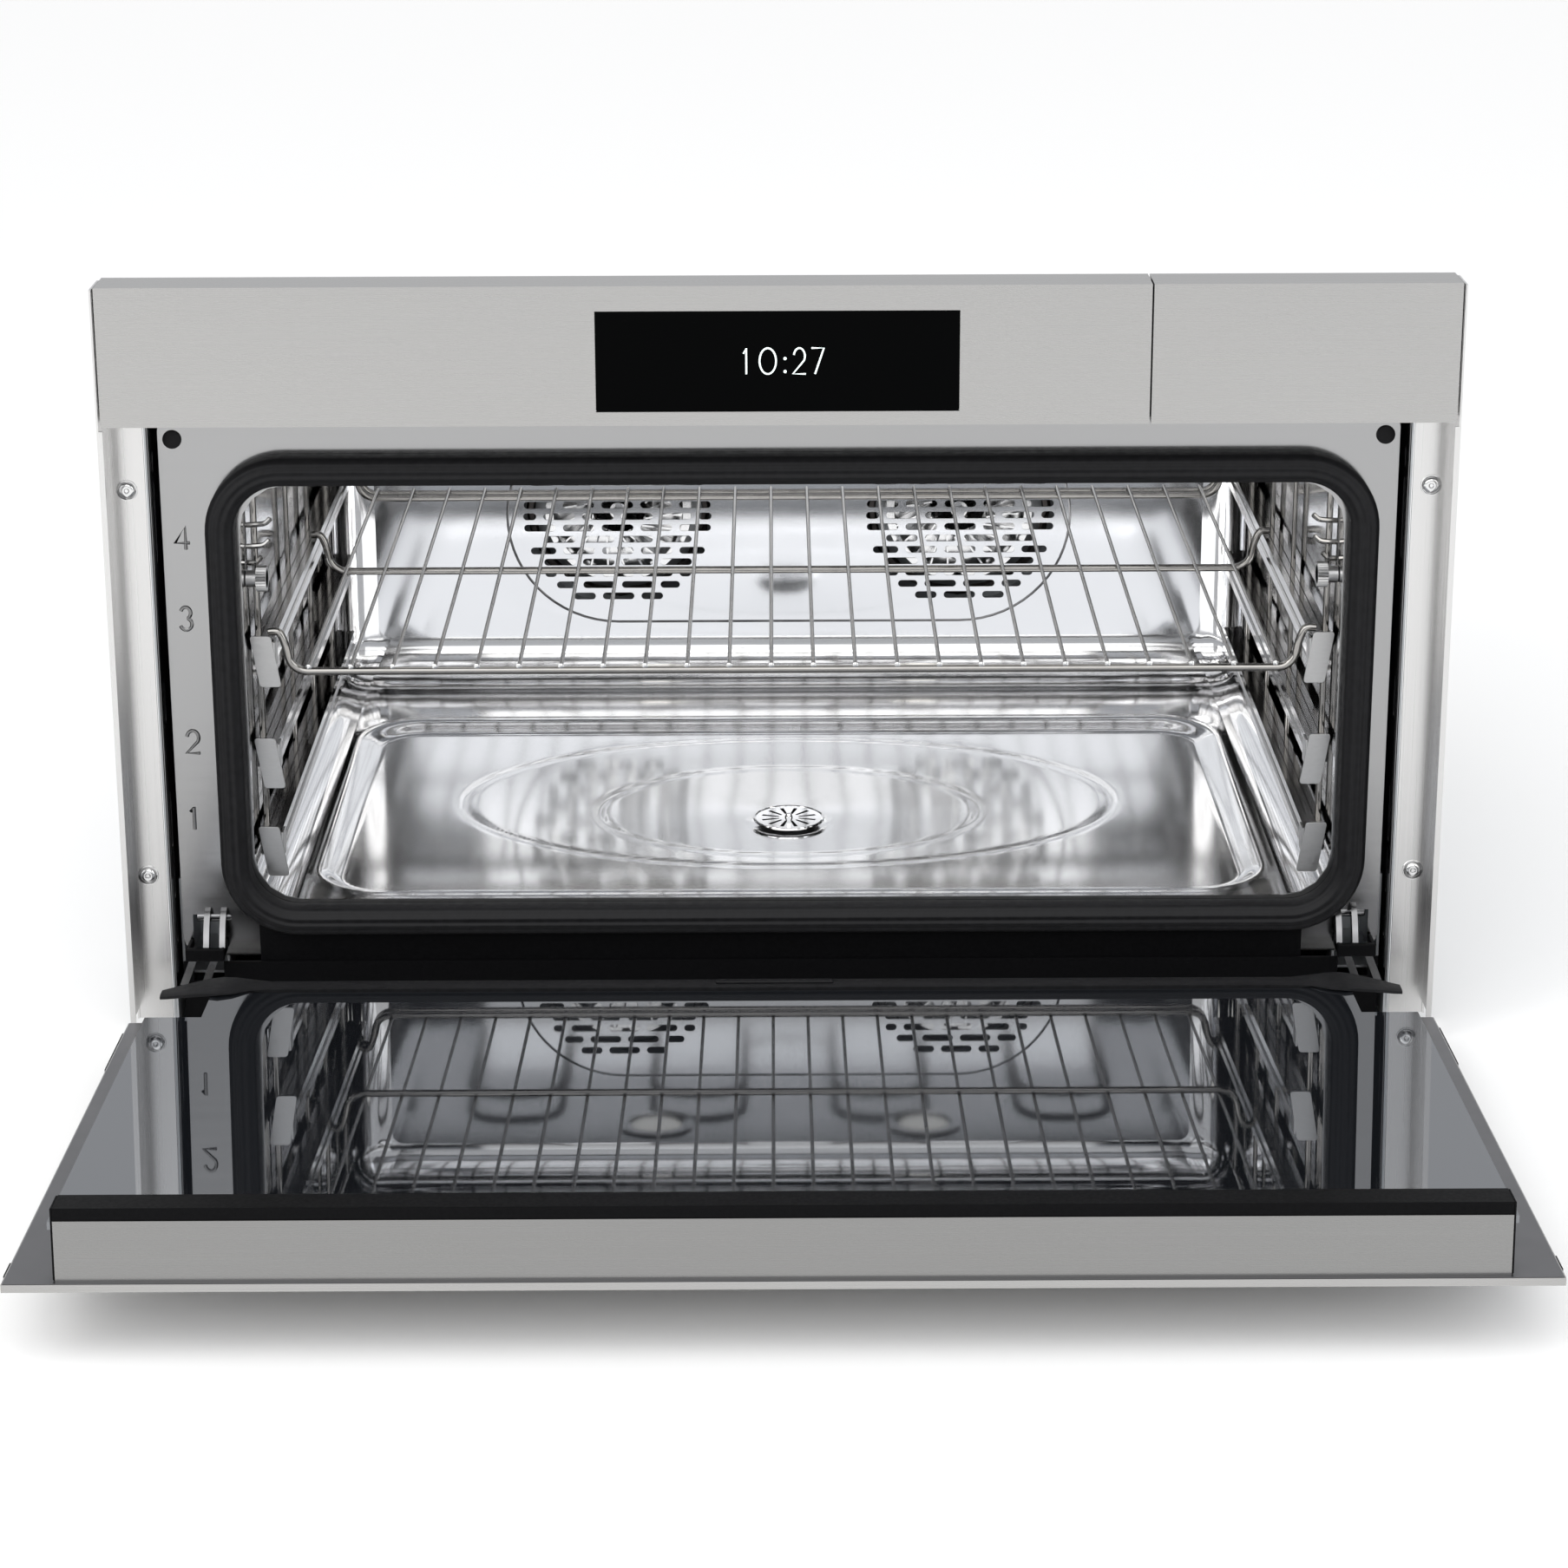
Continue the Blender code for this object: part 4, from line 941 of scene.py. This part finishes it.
def makeEdgeTrims():
    # thin black strips on the skin's side edge near the hinge and at its far corner
    for name, _, s in sides:
        strips = [block((s * 0.3796, 0.0170, 0.0008), (s * 0.3803, 0.0760, 0.0040)),
                  block((s * 0.3796, 0.3440, 0.0008), (s * 0.3803, 0.3600, 0.0040))]
        piece(f"skinEdgeTrim{name}", onDoor(together(strips)), "blackPlastic", "door", bevel=0.0002)


# hooks and struts by their distance from the middle; the hooks' upper edge as depth and height
hinge = {"hooks": (0.3290, 0.3385), "thick": 0.0034, "deep": 0.0062, "struts": (0.3325, 0.3450), "path": (
    (0.060, 0.0640), (0.030, 0.0690), (0.0130, 0.0715), (0.0050, 0.0660), (-0.0005, 0.0560), (-0.0040, 0.0470))}


def makeHinges():
    for name, cad, s in sides:
        dress("zincSheet", f"hinge_box_{cad}")
        # two polished hooks out of the plate, a black stirrup across them, and two struts below it
        links = []
        for near in hinge["hooks"]:
            top = softened([Vector((0, *q)) for q in hinge["path"]], 0.008, 5)
            lower = []
            for before, point, after in zip([top[0], *top], top, [*top[1:], top[-1]]):
                way = (after - before).normalized()
                lower.append(point + Vector((0, way.z, -way.y)) * -hinge["deep"])
            outline = [(q.y, q.z) for q in top] + [(q.y, q.z) for q in reversed(lower)]
            links.append(prism(outline, "X", *sorted((s * near, s * (near + hinge["thick"])))))
        for x in hinge["struts"]:
            line = [(x, 0.0450), (x + 0.0046, 0.0450), (x + 0.0108, 0.0290), (x + 0.0062, 0.0290)]
            strut = [(s * a, z) for a, z in line]
            links.append(prism(strut, "Y", -0.0072, -0.0030))
        links.append(lathe([(0, 0.0105), (0.0028, 0.0105), (0.0032, 0.0098), (0.0032, -0.0098), (0, -0.0105)],
                           (s * 0.3370, 0.0150, 0.0640), facing["right"], 16))
        piece(f"hingeLinks{name}", together(links), "linkSteel", stands=(f"hinge_arm_{cad}",), bevel=0.0004)
        stirrup = [block((s * 0.3290, -0.0078, 0.0438), (s * 0.3518, -0.0040, 0.0516)),
                   block((s * 0.3290, -0.0060, 0.0444), (s * 0.3312, 0.0110, 0.0510)),
                   block((s * 0.3494, -0.0060, 0.0444), (s * 0.3518, 0.0110, 0.0510))]
        piece(f"hingeStirrup{name}", together(stirrup), "blackPlastic", bevel=0.0008)


makeDoor()
makeEdgeTrims()
makeHinges()
print("stage: door")

# casing; its top falls towards the rear
casing = {"inset": 0.012, "front": 0.446, "fall": 0.1954, "bead": 0.0010}


def topAt(y):
    return casing["front"] - casing["fall"] * y


def makeCasing():
    dress("zincSheet", "outer_wrap", "base_pan", "rear_cover", "equipment_shelf", "blower_housing", bevel=0.0)
    low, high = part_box("outer_wrap")
    inset, heads = casing["inset"], []
    for _, cad, s in sides:
        for y in (low.y + 0.03, (low.y + high.y) / 2, high.y - inset):
            for z in (0.011, topAt(y) - inset):
                heads.append(screwHead((s * high.x, y, z), facing[cad], 0.7))
    lean = Matrix.Rotation(-math.atan(casing["fall"]), 3, "X")
    for x in (-0.33, -0.11, 0.11, 0.33):
        heads.append(screwHead((x, high.y - 0.010, topAt(high.y - 0.010)), lean, 0.7))
    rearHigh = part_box("rear_cover")[1]
    for x in (-0.345, -0.115, 0.115, 0.345):
        for z in (0.012, rearHigh.z - inset):
            heads.append(screwHead((x, rearHigh.y, z), facing["back"], 0.7))
    piece("casingScrews", together(heads), "brightSteelAndGlint")
    outer, inner = rounded((0, 0.165), 0.46, 0.20, 0.03, 6), rounded((0, 0.165), 0.448, 0.188, 0.026, 6)
    piece("rearBead", cutSheet(outer, [inner], casing["bead"], "Y", rearHigh.y + 0.0004), "zincSheet", bevel=0.0003)
    beads = []
    for _, _, s in sides:
        lines = []
        for step in (0, 0.006):
            near, far, floor = 0.075 + step, 0.455 - step, 0.060 + step
            lines.append(closedLoop([(near, floor), (far, floor), (far, topAt(far) - 0.045 - step),
                                     (near, topAt(near) - 0.045 - step)], 0.035 - step, 6))
        beads.append(cutSheet(lines[0], [lines[1]], casing["bead"], "X", s * (high.x + 0.0004)))
    outer, inner = rounded((0, 0.262), 0.56, 0.38, 0.035, 6), rounded((0, 0.262), 0.548, 0.368, 0.030, 6)
    top = cutSheet(outer, [inner], casing["bead"], "Z", 0.0004)
    for v in top.verts:
        v.co.z += topAt(v.co.y)
    piece("casingBeads", together([*beads, top]), "zincSheet", bevel=0.0003)
    low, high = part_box("mains_gland")
    x, z = (low.x + high.x) / 2, (low.z + high.z) / 2
    profile = [(0.0048, 0.0138), (0.0090, 0.0138), (0.0104, 0.0120), (0.0104, 0.0040), (0.0120, 0.0036),
               (0.0120, 0)]
    piece("mainsGland", lathe(profile, (x, low.y, z), facing["back"], 24), "blackPlastic", stands=("mains_gland",))


def makeServices():
    dress("plateSteel", "steam_generator")
    dress("blackPlastic", "tank_bay", "blower_wheel")
    dress("tankPlastic", "water_tank", bevel=0.0006)


makeCasing()
makeServices()
print("stage: casing")

# anything from the model still without a finish
for name, node in nodes.items():
    if not node.hide_render and not any(m and m.name.split(".")[0] in finish for m in node.data.materials):
        print("plain", name)
